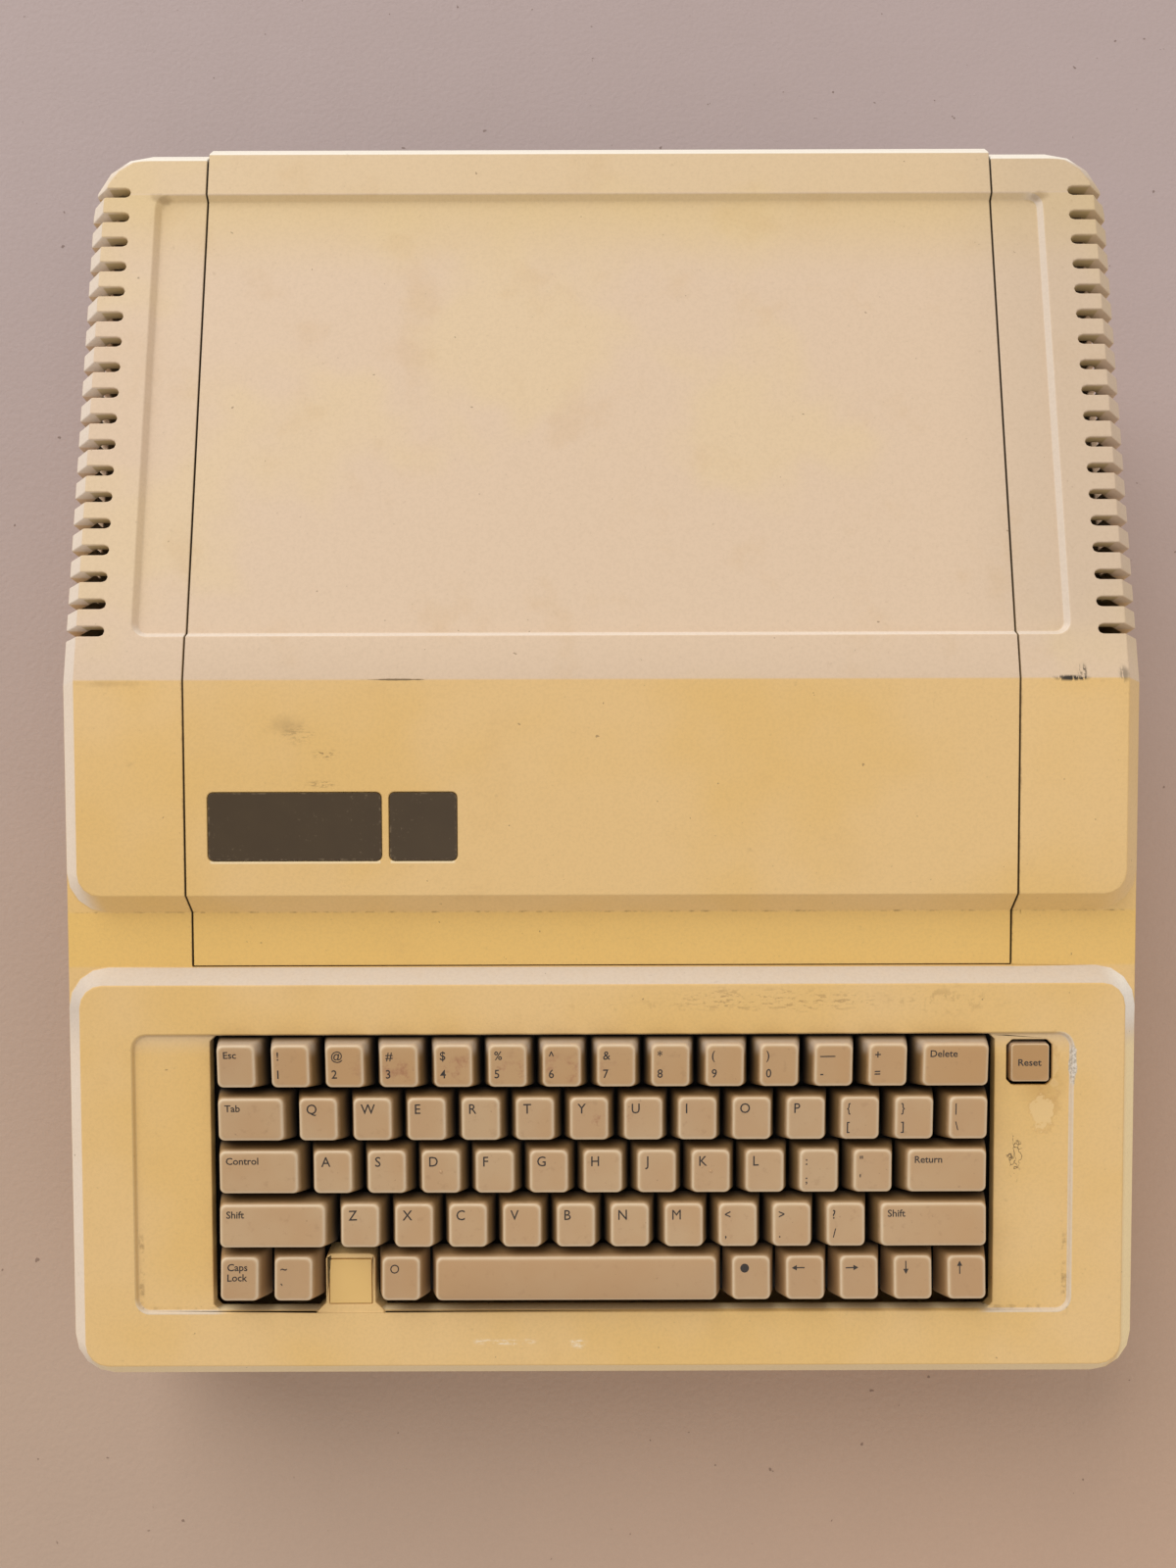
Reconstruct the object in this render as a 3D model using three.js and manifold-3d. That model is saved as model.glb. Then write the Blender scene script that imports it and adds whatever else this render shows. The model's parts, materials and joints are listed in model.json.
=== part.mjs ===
// A desktop home computer of the early 1980s: a moulded case with the keyboard built in, a
// lift-off lid over the card bay, and a row of vent slots down each top edge.
// Units are millimetres. +X is to the right, +Y to the rear and +Z up.
// The origin is on the table, under the middle of the machine.
import * as THREE from "three";
import { mergeVertices } from "three/addons/utils/BufferGeometryUtils.js";
import Module from "manifold-3d";

const wasm = await Module();
wasm.setup();

// Overall sizes
const caseWidth = 385;
const overallDepth = 454;
const overallHeight = 114;

// Sections and fits
const wall = 3;
const sheet = 1.2;
const boardThickness = 1.6;
const seamGap = 0.5;
const restGap = 0.3;
const runningGap = 0.4;
const cutOverrun = 2;

// The sloped edge that runs round the top of the case, and the corners in plan
const edgeRun = 6.75;
const edgeFall = 7;
const frontEdgeRun = 4.6;
const rearEdgeRun = 4;
const rearEdgeFall = 3.6;
const cornerRadius = 14.5;
const rearCornerRadius = 23;
const cornerSteps = 4;

// The side profile: a level top, then one slope that the channel crosses
const panelSlope = THREE.MathUtils.degToRad(10.8);
const lidOverhang = 2.4;
const brow = 74.9;
const browEdgeRun = 5.4;
const channelWidth = 19.4;

// The keyboard: its pitch follows the case's width, and the opening in the deck follows the pitch
const keyPitchShare = 0.04948;
const keyPitch = caseWidth * keyPitchShare;
const arrayUnits = 14.5;
const rowCount = 5;
const keyMargin = 1.9;
const keyFrontMargin = 2.35;
const openingLength = rowCount * keyPitch + keyMargin + keyFrontMargin;
const openingSetback = 17.8;
const openingCorner = 2;
const openingWidth = arrayUnits * keyPitch + 2 * keyMargin;
const frontBand = 24.2;
const deckRecessDepth = 1.2;
const deckRecessMargin = 0.6;
const deckRecessInset = 25;
const deckRecessWidth = caseWidth - 2 * deckRecessInset;
const arrayShift = 2.1;
const keyRise = 6.2;

// The case's lower edge and the undercut below the keyboard
const caseClearance = 8;
const undercutHeight = 26;
const undercutRun = 34;

const sideX = caseWidth / 2;
const frontY = -overallDepth / 2;
const lidRearY = overallDepth / 2;
const caseRearY = lidRearY - lidOverhang;
const deckRearY = frontY + frontBand + openingLength * Math.cos(panelSlope) + openingSetback;
const channelFrontY = deckRearY + edgeRun;
const channelRearY = channelFrontY + channelWidth;
const browFrontY = channelRearY + browEdgeRun;
const ridgeY = browFrontY + brow;

// The lid's seams, and the shallow tray in the top that a monitor stands in
const lidInset = 45;
const lidWidth = caseWidth - 2 * lidInset;
const trayInset = 26;
const trayWidth = caseWidth - 2 * trayInset;
const trayDepth = 2.2;
const trayWallRun = 1.8;
const trayCorner = 5;
const trayFrontBand = 15.8;
const trayRearBand = 20.8;
const lidLipDrop = 20;
const lidSideX = lidWidth / 2 - seamGap / 2;
const lidBayX = lidWidth / 2 + seamGap / 2;

// The vent slots
const ventPitch = 10;
const ventWidth = 3.7;
const ventReach = 16.5;
const ventDrop = 26;
const ventRearSetback = 17.5;
const ventFrontSetback = 17;
const ventRoom = caseRearY - ventRearSetback - ventFrontSetback - ridgeY;
const ventCount = Math.floor(ventRoom / ventPitch) + 1;
const ventEndSteps = 4;

const quarterTurn = Math.PI / 2;

// Height of the top surface above the table, at a distance y from the middle
function surfaceZ(y) {
  return overallHeight - Math.max(0, ridgeY - y) * Math.tan(panelSlope);
}

// Frames that lie along the sloping panel: at its ridge, at the middle of the keyboard opening,
// and at the middle of the key tops
const browFrame = new THREE.Matrix4()
  .makeRotationX(panelSlope)
  .setPosition(0, ridgeY, overallHeight);
const deckCentreY = deckRearY - openingSetback - (openingLength / 2) * Math.cos(panelSlope);
const deckFrame = new THREE.Matrix4()
  .makeRotationX(panelSlope)
  .setPosition(0, deckCentreY, surfaceZ(deckCentreY));
const keyboardFrame = deckFrame
  .clone()
  .multiply(new THREE.Matrix4().makeTranslation(0, arrayShift, keyRise));

// A closed geometry as a solid
function solidOf(geometry, frame) {
  const bare = geometry.clone();
  bare.deleteAttribute("normal");
  bare.deleteAttribute("uv");
  if (frame) bare.applyMatrix4(frame);
  const merged = mergeVertices(bare);
  const mesh = new wasm.Mesh({
    numProp: 3,
    vertProperties: merged.attributes.position.array,
    triVerts: new Uint32Array(merged.index.array),
  });
  return new wasm.Manifold(mesh);
}

// A solid as a geometry
function geometryOf(solid) {
  const mesh = solid.asOriginal().getMesh();
  const geometry = new THREE.BufferGeometry();
  geometry.setAttribute("position", new THREE.BufferAttribute(mesh.vertProperties, 3));
  geometry.setIndex(new THREE.BufferAttribute(mesh.triVerts, 1));
  geometry.computeVertexNormals();
  return geometry;
}

function joined(solids) {
  return solids.reduce((sum, solid) => sum.add(solid));
}

function cut(solid, cutters) {
  return cutters.length ? solid.subtract(joined(cutters)) : solid;
}

// A block between two corners
function block([x0, x1], [y0, y1], [z0, z1], frame) {
  const geometry = new THREE.BoxGeometry(x1 - x0, y1 - y0, z1 - z0);
  geometry.translate((x0 + x1) / 2, (y0 + y1) / 2, (z0 + z1) / 2);
  return solidOf(geometry, frame);
}

function span(centre, size) {
  return [centre - size / 2, centre + size / 2];
}

// A side profile of [y, z] points, drawn out from x0 to x1
function acrossCase(profile, [x0, x1], frame) {
  const shape = new THREE.Shape(profile.map(([y, z]) => new THREE.Vector2(y, z)));
  const geometry = new THREE.ExtrudeGeometry(shape, { depth: x1 - x0, bevelEnabled: false });
  const sideways = new THREE.Matrix4().makeBasis(
    new THREE.Vector3(0, 1, 0),
    new THREE.Vector3(0, 0, 1),
    new THREE.Vector3(1, 0, 0),
  );
  geometry.applyMatrix4(sideways.setPosition(x0, 0, 0));
  return solidOf(geometry, frame);
}

// An upright cylinder or cone
function post(x, y, [z0, z1], radius, sides, topRadius = radius) {
  const geometry = new THREE.CylinderGeometry(topRadius, radius, z1 - z0, sides);
  geometry.rotateX(quarterTurn);
  geometry.translate(x, y, (z0 + z1) / 2);
  return solidOf(geometry);
}

// The outline of a rectangle with round corners, seen from above, as [x, y] points.
// breaks are further points on its two sides, and middles adds one half way along each end.
function outline({
  x,
  y,
  radius,
  rear = radius,
  steps = cornerSteps,
  breaks = [],
  middles = false,
}) {
  const points = [];
  const arc = (cx, cy, size, start) => {
    for (let i = 0; i <= steps; i++) {
      const angle = start + (quarterTurn * i) / steps;
      points.push([cx + size * Math.cos(angle), cy + size * Math.sin(angle)]);
    }
  };
  const middle = (x[0] + x[1]) / 2;
  if (middles) points.push([middle, y[0]]);
  arc(x[1] - radius, y[0] + radius, radius, -quarterTurn);
  breaks.forEach((place) => points.push([x[1], place]));
  arc(x[1] - rear, y[1] - rear, rear, 0);
  if (middles) points.push([middle, y[1]]);
  arc(x[0] + rear, y[1] - rear, rear, quarterTurn);
  [...breaks].reverse().forEach((place) => points.push([x[0], place]));
  arc(x[0] + radius, y[0] + radius, radius, 2 * quarterTurn);
  return points;
}

// The triangles of a flat or folded cap. fold splits it along one line, such as a ridge.
function capTriangles(ring, fold) {
  const all = ring.map((point, index) => index);
  const parts = fold
    ? [all.filter((i) => fold(ring[i]) >= 0), all.filter((i) => fold(ring[i]) <= 0)]
    : [all];
  return parts.flatMap((part) => {
    const flat = part.map((i) => new THREE.Vector2(ring[i][0], ring[i][1]));
    return THREE.ShapeUtils.triangulateShape(flat, []).map((face) => {
      const [a, b, c] = face.map((i) => flat[i]);
      const turn = (b.x - a.x) * (c.y - a.y) - (b.y - a.y) * (c.x - a.x);
      const [i, j, k] = face.map((i) => part[i]);
      return turn > 0 ? [i, j, k] : [i, k, j];
    });
  });
}

// A closed body skinned over rings of [x, y, z] points, from the lowest to the highest
function skinned(rings, frame, fold) {
  const count = rings[0].length;
  const positions = rings.flat(2);
  const faces = [];
  for (let level = 0; level + 1 < rings.length; level++) {
    for (let i = 0; i < count; i++) {
      const j = (i + 1) % count;
      const low = level * count;
      const high = low + count;
      faces.push([low + i, low + j, high + j], [low + i, high + j, high + i]);
    }
  }
  const last = (rings.length - 1) * count;
  capTriangles(rings[0], fold).forEach(([a, b, c]) => faces.push([a, c, b]));
  capTriangles(rings.at(-1), fold).forEach((face) => faces.push(face.map((i) => last + i)));
  const geometry = new THREE.BufferGeometry();
  geometry.setAttribute("position", new THREE.Float32BufferAttribute(positions, 3));
  geometry.setIndex(faces.flat());
  return solidOf(geometry, frame);
}

const atHeight = (ring, z) => ring.map(([x, y]) => [x, y, z]);

// A raised part of the case: upright sides from floor up to its shoulder, then the sloped edge,
// which is smaller across the rear of the case
function raisedBody({ foot, rim, lowered, floor }) {
  const rearCorner = caseRearY - rearCornerRadius;
  const fallAt = (y) => {
    const share = THREE.MathUtils.clamp((y - rearCorner) / (caseRearY - wall - rearCorner), 0, 1);
    return THREE.MathUtils.lerp(edgeFall, rearEdgeFall, share);
  };
  const top = rim.map(([x, y]) => [x, y, surfaceZ(y) - lowered]);
  const shoulder = foot.map(([x, y]) => [x, y, surfaceZ(y) - lowered - fallAt(y)]);
  return skinned([atHeight(foot, floor), shoulder, top], null, ([, y]) => y - ridgeY);
}

// A flat pocket with sloping walls, for the trays in the top and in the keyboard deck
function trayCutter({ x, y, depth, wallRun, corner, frame }) {
  const rim = outline({ x, y, radius: corner });
  const inner = ([low, high]) => [low + wallRun, high - wallRun];
  const floor = outline({ x: inner(x), y: inner(y), radius: corner - wallRun });
  return skinned([atHeight(floor, -depth), atHeight(rim, 0), atHeight(rim, cutOverrun)], frame);
}

// A path moved sideways by a distance, to the left of its own direction
function offsetPath(path, distance) {
  const along = path.slice(1).map(([y, z], i) => {
    const step = new THREE.Vector2(y - path[i][0], z - path[i][1]);
    return step.normalize();
  });
  return path.map(([y, z], i) => {
    const before = along[Math.max(i - 1, 0)];
    const after = along[Math.min(i, along.length - 1)];
    const bisector = new THREE.Vector2(-before.y - after.y, before.x + after.x).normalize();
    const reach = distance / bisector.dot(new THREE.Vector2(-before.y, before.x));
    return [y + bisector.x * reach, z + bisector.y * reach];
  });
}

// The strip between a path's two offsets
function strip(path, near, far) {
  return [...offsetPath(path, near), ...offsetPath(path, far).reverse()];
}

const machine = new THREE.Group();
const keyboardGroup = new THREE.Group();
keyboardGroup.applyMatrix4(keyboardFrame);
const deckGroup = new THREE.Group();
deckGroup.applyMatrix4(deckFrame);
const browGroup = new THREE.Group();
browGroup.applyMatrix4(browFrame);
machine.add(keyboardGroup, deckGroup, browGroup);

function finish(color, roughness, metalness = 0) {
  return new THREE.MeshStandardMaterial({ color, roughness, metalness, flatShading: true });
}

const casePlastic = finish(0xdfc48d, 0.6);
const keyPlastic = finish(0xb8996f, 0.55);
const switchPlastic = finish(0x2b2926, 0.5);
const badgePlastic = finish(0x3a3026, 0.35);
const lampPlastic = finish(0xd9b96e, 0.4);
const zincSteel = finish(0xa9aaa6, 0.4, 0.9);
const boardLaminate = finish(0x2f5b39, 0.5);
const rubber = finish(0x4a4744, 0.9);
const speakerPaper = finish(0x3b3836, 0.8);
const ribbonVinyl = finish(0xb9b7ae, 0.6);

function addPiece(name, solid, material, group = machine) {
  const mesh = new THREE.Mesh(geometryOf(solid), material);
  mesh.name = name;
  group.add(mesh);
  return mesh;
}

// The upper case is one moulding: the brow with the vents, the channel and the keyboard deck
const ledgeReach = 6;
const ledgeThickness = 2;
const ledgeWeb = 3;
const ledgeCover = 1.2;
const rearWindowInset = 20.5;
const rearWindowWidth = caseWidth - 2 * rearWindowInset;
const rearWindowTop = 88;
const bossRadius = 5;
const bossSides = 8;
const bossHeight = 40;
const bossInset = 1.5;
const bossEndSetback = 24;
const panFrontY = frontY + undercutRun + 2 * wall;
const panRecess = 1;
const panZ = [caseClearance + panRecess, caseClearance + panRecess + sheet];
const studRadius = 3;
const studSides = 12;
const studSetback = 21;
const studInset = 4.2;

// The lid's top surface as [y, z] points, from its rear lip to the front of the channel
const trayRearY = lidRearY - trayRearBand;
const trayFrontY = ridgeY + trayFrontBand;
const lidTop = [
  [lidRearY, overallHeight - lidLipDrop],
  [lidRearY, overallHeight - rearEdgeFall],
  [lidRearY - rearEdgeRun, overallHeight],
  [trayRearY, overallHeight],
  [trayRearY - trayWallRun, overallHeight - trayDepth],
  [trayFrontY + trayWallRun, overallHeight - trayDepth],
  [trayFrontY, overallHeight],
  [ridgeY, overallHeight],
  [browFrontY, surfaceZ(browFrontY)],
  [channelRearY, surfaceZ(channelRearY) - edgeFall],
  [channelFrontY + seamGap, surfaceZ(channelFrontY + seamGap) - edgeFall],
];
const ledgePath = [[lidRearY - rearEdgeRun - ledgeReach, overallHeight], ...lidTop.slice(3)];

function caseOuter() {
  const brow = raisedBody({
    foot: outline({
      x: [-sideX, sideX],
      y: [channelRearY, caseRearY],
      radius: cornerRadius,
      rear: rearCornerRadius,
      breaks: [ridgeY],
    }),
    rim: outline({
      x: [-sideX + edgeRun, sideX - edgeRun],
      y: [browFrontY, caseRearY - rearEdgeRun],
      radius: cornerRadius - edgeRun,
      rear: rearCornerRadius - edgeRun,
      breaks: [ridgeY],
    }),
    lowered: 0,
    floor: caseClearance,
  });
  const deck = raisedBody({
    foot: outline({ x: [-sideX, sideX], y: [frontY, channelFrontY], radius: cornerRadius }),
    rim: outline({
      x: [-sideX + edgeRun, sideX - edgeRun],
      y: [frontY + frontEdgeRun, deckRearY],
      radius: cornerRadius - edgeRun,
    }),
    lowered: 0,
    floor: caseClearance,
  });
  return joined([brow, deck, channelBlock(sideX, edgeFall, caseClearance)]);
}

// The body under the channel reaches past the round corners of what stands beside it
function channelBlock(halfWidth, drop, floor) {
  const reach = cornerRadius + cutOverrun;
  const ends = [channelFrontY - reach, channelRearY + reach];
  const profile = [
    [ends[0], floor],
    [ends[1], floor],
    [ends[1], surfaceZ(ends[1]) - drop],
    [ends[0], surfaceZ(ends[0]) - drop],
  ];
  return acrossCase(profile, [-halfWidth, halfWidth]);
}

function caseInner() {
  const x = [-sideX + wall, sideX - wall];
  const rimX = [x[0] + edgeRun, x[1] - edgeRun];
  const floor = caseClearance - cutOverrun;
  const brow = raisedBody({
    foot: outline({
      x,
      y: [channelRearY + wall, caseRearY - wall],
      radius: cornerRadius - wall,
      rear: rearCornerRadius - wall,
      breaks: [ridgeY],
    }),
    rim: outline({
      x: rimX,
      y: [browFrontY + wall, caseRearY - rearEdgeRun - wall],
      radius: cornerRadius - edgeRun - wall,
      rear: rearCornerRadius - edgeRun - wall,
      breaks: [ridgeY],
    }),
    lowered: trayDepth + wall,
    floor,
  });
  const deck = raisedBody({
    foot: outline({
      x,
      y: [frontY + wall, channelFrontY - wall],
      radius: cornerRadius - wall,
    }),
    rim: outline({
      x: rimX,
      y: [frontY + frontEdgeRun + wall, deckRearY - wall],
      radius: cornerRadius - edgeRun - wall,
    }),
    lowered: wall,
    floor,
  });
  return joined([brow, deck, channelBlock(x[1], edgeFall + wall, floor)]);
}

// What the undercut takes away below the front edge, moved up by a wall for the inside
function undercut(thickness) {
  const lift = (thickness * Math.hypot(undercutHeight, undercutRun)) / undercutRun;
  const fall = undercutHeight / undercutRun;
  const z = (y) => caseClearance + undercutHeight + lift - fall * (y - frontY);
  const ends = [frontY - cutOverrun, frontY + 2 * undercutRun];
  const profile = [
    [ends[0], z(ends[0])],
    [ends[0], z(ends[1]) - cutOverrun],
    [ends[1], z(ends[1]) - cutOverrun],
    [ends[1], z(ends[1])],
  ];
  return acrossCase(profile, [-sideX - cutOverrun, sideX + cutOverrun]);
}

function ventCutter(side, index) {
  const y = caseRearY - ventRearSetback - index * ventPitch;
  const half = ventWidth / 2;
  const endX = sideX - ventReach + half;
  const shape = new THREE.Shape();
  shape.moveTo(side * (sideX + cutOverrun), y - half);
  shape.lineTo(side * endX, y - half);
  for (let i = 1; i <= ventEndSteps; i++) {
    const angle = -quarterTurn - (2 * quarterTurn * i) / ventEndSteps;
    shape.lineTo(side * (endX + half * Math.cos(angle)), y + half * Math.sin(angle));
  }
  shape.lineTo(side * (sideX + cutOverrun), y + half);
  const depth = ventDrop + cutOverrun;
  const geometry = new THREE.ExtrudeGeometry(shape, { depth, bevelEnabled: false });
  geometry.translate(0, 0, overallHeight - ventDrop);
  return solidOf(geometry);
}

// The keyboard opening, its shallow tray, and the hole for the reset key, in the deck's frame
const resetFromOpening = 12.5;
const resetU = openingWidth / 2 + resetFromOpening;
const resetFromRear = 10.35;
const resetV = openingLength / 2 - resetFromRear;
const resetHole = 16.4;
const openingCut = 14;
const openingRimDepth = 6;
const openingRimWall = 1.6;

// A rim below the deck, round the keyboard opening
function openingRim() {
  const ring = outline({
    x: span(0, openingWidth + 2 * openingRimWall),
    y: span(0, openingLength + 2 * openingRimWall),
    radius: openingCorner,
    steps: 1,
  });
  return skinned([atHeight(ring, -openingRimDepth), atHeight(ring, -wall / 2)], deckFrame);
}

function deckCutters() {
  const opening = outline({
    x: [-openingWidth / 2, openingWidth / 2],
    y: [-openingLength / 2, openingLength / 2],
    radius: openingCorner,
    steps: 1,
  });
  const reset = outline({
    x: span(resetU, resetHole),
    y: span(resetV, resetHole),
    radius: openingCorner,
    steps: 1,
  });
  const through = (ring) =>
    skinned([atHeight(ring, -openingCut), atHeight(ring, cutOverrun)], deckFrame);
  const tray = trayCutter({
    x: [-deckRecessWidth / 2, deckRecessWidth / 2],
    y: [-openingLength / 2 - deckRecessMargin, openingLength / 2 + deckRecessMargin],
    depth: deckRecessDepth,
    wallRun: deckRecessMargin,
    corner: trayCorner,
    frame: deckFrame,
  });
  return [through(opening), through(reset), tray];
}

// The tongue that stands between two keys of the front row and holds the power lamp
const lampFromLeftUnits = 2.5;
const lampU = (lampFromLeftUnits - arrayUnits / 2) * keyPitch;
const lampSideRoom = 3.45;
const lampEndRoom = 2.45;
const lampLensWidth = keyPitch - lampSideRoom;
const lampLensLength = keyPitch - lampEndRoom;
const lampLensThickness = 1;
const lampRim = 1.1;
const lampRearRim = 1.8;
const lampTongueDrop = 8;
const lampTongueTop = 0.4;
const lampRearTaper = 1.2;
const lampFrontRim = 2.4;
const lampPocketDepth = 1.3;
const lampFlare = 3;
const lampFrontV = -openingLength / 2;
const lampLensV = [lampFrontV + lampFrontRim, lampFrontV + lampFrontRim + lampLensLength];

function lampTongue() {
  const x = span(lampU, lampLensWidth + 2 * lampRim);
  const rear = lampLensV[1] + lampRearRim;
  const front = lampFrontV - wall;
  const foot = outline({ x, y: [front, rear + lampRearTaper], radius: openingCorner, steps: 2 });
  const top = outline({ x, y: [front, rear], radius: openingCorner, steps: 2 });
  const tongue = skinned(
    [atHeight(foot, -lampTongueDrop), atHeight(top, -lampTongueTop)],
    deckFrame,
  );
  const legs = x.map((edge) => {
    const ring = [
      [edge - lampFlare, front],
      [edge + lampFlare, front],
      [edge + lampFlare, lampFrontV],
      [edge, lampFrontV + lampFlare],
      [edge - lampFlare, lampFrontV],
    ];
    return skinned([atHeight(ring, -lampTongueDrop), atHeight(ring, -lampTongueTop)], deckFrame);
  });
  const pocket = block(
    [x[0] + lampRim, x[1] - lampRim],
    lampLensV,
    [-lampTongueTop - lampPocketDepth, cutOverrun],
    deckFrame,
  );
  return joined([tongue, ...legs]).subtract(pocket);
}

// The ledges that carry the lid: along both sides, and across the front of the bay
function lidLedges() {
  const near = wall + restGap;
  const ledges = [-1, 1].flatMap((side) => {
    const ordered = (a, b) => (a < b ? [a, b] : [b, a]);
    const webX = ordered(side * lidBayX, side * (lidBayX + ledgeWeb));
    const shelfX = ordered(side * (lidBayX - ledgeReach), side * (lidBayX + ledgeWeb));
    return [
      acrossCase(strip(ledgePath, ledgeCover, near + ledgeThickness), webX),
      acrossCase(strip(ledgePath, near, near + ledgeThickness), shelfX),
    ];
  });
  const z = surfaceZ(channelFrontY) - edgeFall;
  const front = [
    [channelFrontY - wall, z - ledgeCover],
    [channelFrontY - wall, z - near - ledgeThickness],
    [channelFrontY + ledgeReach, z - near - ledgeThickness],
    [channelFrontY + ledgeReach, z - near],
    [channelFrontY, z - near],
    [channelFrontY, z - ledgeCover],
  ];
  return [...ledges, acrossCase(front, [-lidBayX - ledgeWeb, lidBayX + ledgeWeb])];
}

// Screw bosses that come down to the base pan along the two sides
function screwBosses() {
  const x = sideX - wall - bossRadius + bossInset;
  const z = [panZ[1], bossHeight];
  const places = [panFrontY + bossEndSetback, deckRearY, caseRearY - bossEndSetback * 2];
  return [-1, 1].flatMap((side) =>
    places.map((y) => post(side * x, y, z, bossRadius, bossSides)),
  );
}

const snapPlaces = [-1, 1].map((side) => [
  side * (lidBayX - ledgeReach / 2 - studInset / 2),
  lidRearY - studSetback,
]);

// A pad on each rear corner of the ledge, with the hole that the lid's snap stud enters
function snapPads() {
  const top = overallHeight - trayDepth - wall - restGap;
  return snapPlaces.map(([x, y]) => {
    const inner = span(x, 2 * studRadius + 2 * ledgeWeb);
    const outerX = Math.sign(x) * (lidBayX + ledgeWeb);
    const padX = x < 0 ? [outerX, inner[1]] : [inner[0], outerX];
    return block(padX, span(y, 2 * studRadius + 2 * ledgeWeb), [top - ledgeThickness, top]);
  });
}

function upperCase() {
  const vents = [-1, 1].flatMap((side) =>
    Array.from({ length: ventCount }, (unused, index) => ventCutter(side, index)),
  );
  const lidBay = block(
    [-lidBayX, lidBayX],
    [channelFrontY, lidRearY + cutOverrun],
    [rearWindowTop, overallHeight + cutOverrun],
  );
  const channelBay = block(
    [-lidBayX, lidBayX],
    [channelFrontY, caseRearY - 2 * wall],
    [caseClearance, overallHeight],
  );
  const rearWindow = block(
    [-rearWindowWidth / 2, rearWindowWidth / 2],
    [caseRearY - 2 * wall, lidRearY + cutOverrun],
    [0, rearWindowTop],
  );
  const topTray = trayCutter({
    x: [-trayWidth / 2, trayWidth / 2],
    y: [trayFrontY, trayRearY],
    depth: trayDepth,
    wallRun: trayWallRun,
    corner: trayCorner,
    frame: new THREE.Matrix4().makeTranslation(0, 0, overallHeight),
  });
  const hollow = caseInner().subtract(undercut(wall));
  const shell = caseOuter().subtract(undercut(0)).subtract(hollow).add(openingRim());
  const opened = cut(shell, [lidBay, channelBay, rearWindow, topTray, ...deckCutters()]);
  const built = joined([opened, ...lidLedges(), ...snapPads(), ...screwBosses(), lampTongue()]);
  const snapHoles = snapPlaces.map(([x, y]) =>
    post(x, y, [rearWindowTop, overallHeight], studRadius + runningGap, studSides),
  );
  return cut(built, [...vents, ...snapHoles]);
}

addPiece("upper_case", upperCase(), casePlastic);

// The lid is a folded plate with ribs and two snap studs below it, and pockets for two badges
const ribCount = 4;
const ribThickness = 2;
const ribDepth = 4;
const ribSetback = 12;
const studLength = 8;
const badgeInset = 7.75;
const badgeLeftU = -lidSideX + badgeInset;
const badgeTopV = -39.5;
const badgeLength = 24.6;
const badgeWidths = { badge_wide: 61.8, badge_small: 24.3 };
const badgeSpacing = 2.4;
const badgePocketDepth = 1.4;
const badgeThickness = 1;
const badgeCorner = 2;
const badgeCornerSteps = 3;

// Where each badge stands, as a rectangle on the sloping panel
function badgePlaces() {
  const v = [badgeTopV - badgeLength, badgeTopV];
  let left = badgeLeftU;
  return Object.entries(badgeWidths).map(([name, width]) => {
    const u = [left, left + width];
    left = left + width + badgeSpacing;
    return { name, u, v };
  });
}

const inset = ([low, high], gap) => [low + gap, high - gap];

// A flat plate with round corners
function roundedPlate([x, y], radius, [z0, z1], frame) {
  const ring = outline({ x, y, radius, steps: badgeCornerSteps });
  return skinned([atHeight(ring, z0), atHeight(ring, z1)], frame);
}

function lid() {
  const plate = acrossCase(strip(lidTop, 0, wall), [-lidSideX, lidSideX]);
  const underside = overallHeight - trayDepth - wall;
  const ribs = Array.from({ length: ribCount }, (unused, index) => {
    const x = -lidSideX + ((index + 1) * 2 * lidSideX) / (ribCount + 1);
    return block(
      span(x, ribThickness),
      [trayFrontY + ribSetback, trayRearY - ribSetback],
      [underside - ribDepth, underside + wall / 2],
    );
  });
  const studs = snapPlaces.map(([x, y]) =>
    post(x, y, [underside - studLength, underside + wall / 2], studRadius, studSides),
  );
  const pockets = badgePlaces().map(({ u, v }) =>
    roundedPlate([u, v], badgeCorner, [-badgePocketDepth, cutOverrun], browFrame),
  );
  return cut(joined([plate, ...ribs, ...studs]), pockets);
}

addPiece("lid", lid(), casePlastic);

badgePlaces().forEach(({ name, u, v }) => {
  const floor = restGap - badgePocketDepth;
  const sides = [inset(u, restGap), inset(v, restGap)];
  const plate = roundedPlate(sides, badgeCorner - restGap, [floor, floor + badgeThickness]);
  addPiece(name, plate, badgePlastic, browGroup);
});

const lampFloor = -lampTongueTop - lampPocketDepth + restGap;
addPiece(
  "power_lamp",
  block(
    inset(span(lampU, lampLensWidth), restGap),
    inset(lampLensV, restGap),
    [lampFloor, lampFloor + lampLensThickness],
  ),
  lampPlastic,
  deckGroup,
);

// The keyboard. Each row lists its keys from the left with their widths in key units; a key
// without a name is moulded on the frame, and a space of one unit is left for the power lamp.
const capGap = 0.85;
const capHeight = 10.5;
const capTopInset = 2.6;
const capTopMargin = 4.05;
const capTopLength = keyPitch - capTopMargin;
const capTopShift = 0.5;
const capCorner = 1.2;
const capTopCorner = 1.8;
const capWall = 1.3;
const capTopThickness = 1.8;
const capDish = 0.5;
const keyTravel = 3.8;
const stemWidth = 6.6;
const stemLength = 4.2;
const stemRoot = 0.6;
const stemEngagement = 5.5;
const housingSideRoom = 8.85;
const housingEndRoom = 8.05;
const housingWidth = keyPitch - housingSideRoom;
const housingLength = keyPitch - housingEndRoom;
const housingFloor = 0.5;
const plateThickness = 1.5;
const plateInset = 18.6;
const boardMargin = 12;
const frameBorder = 2.4;

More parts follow.
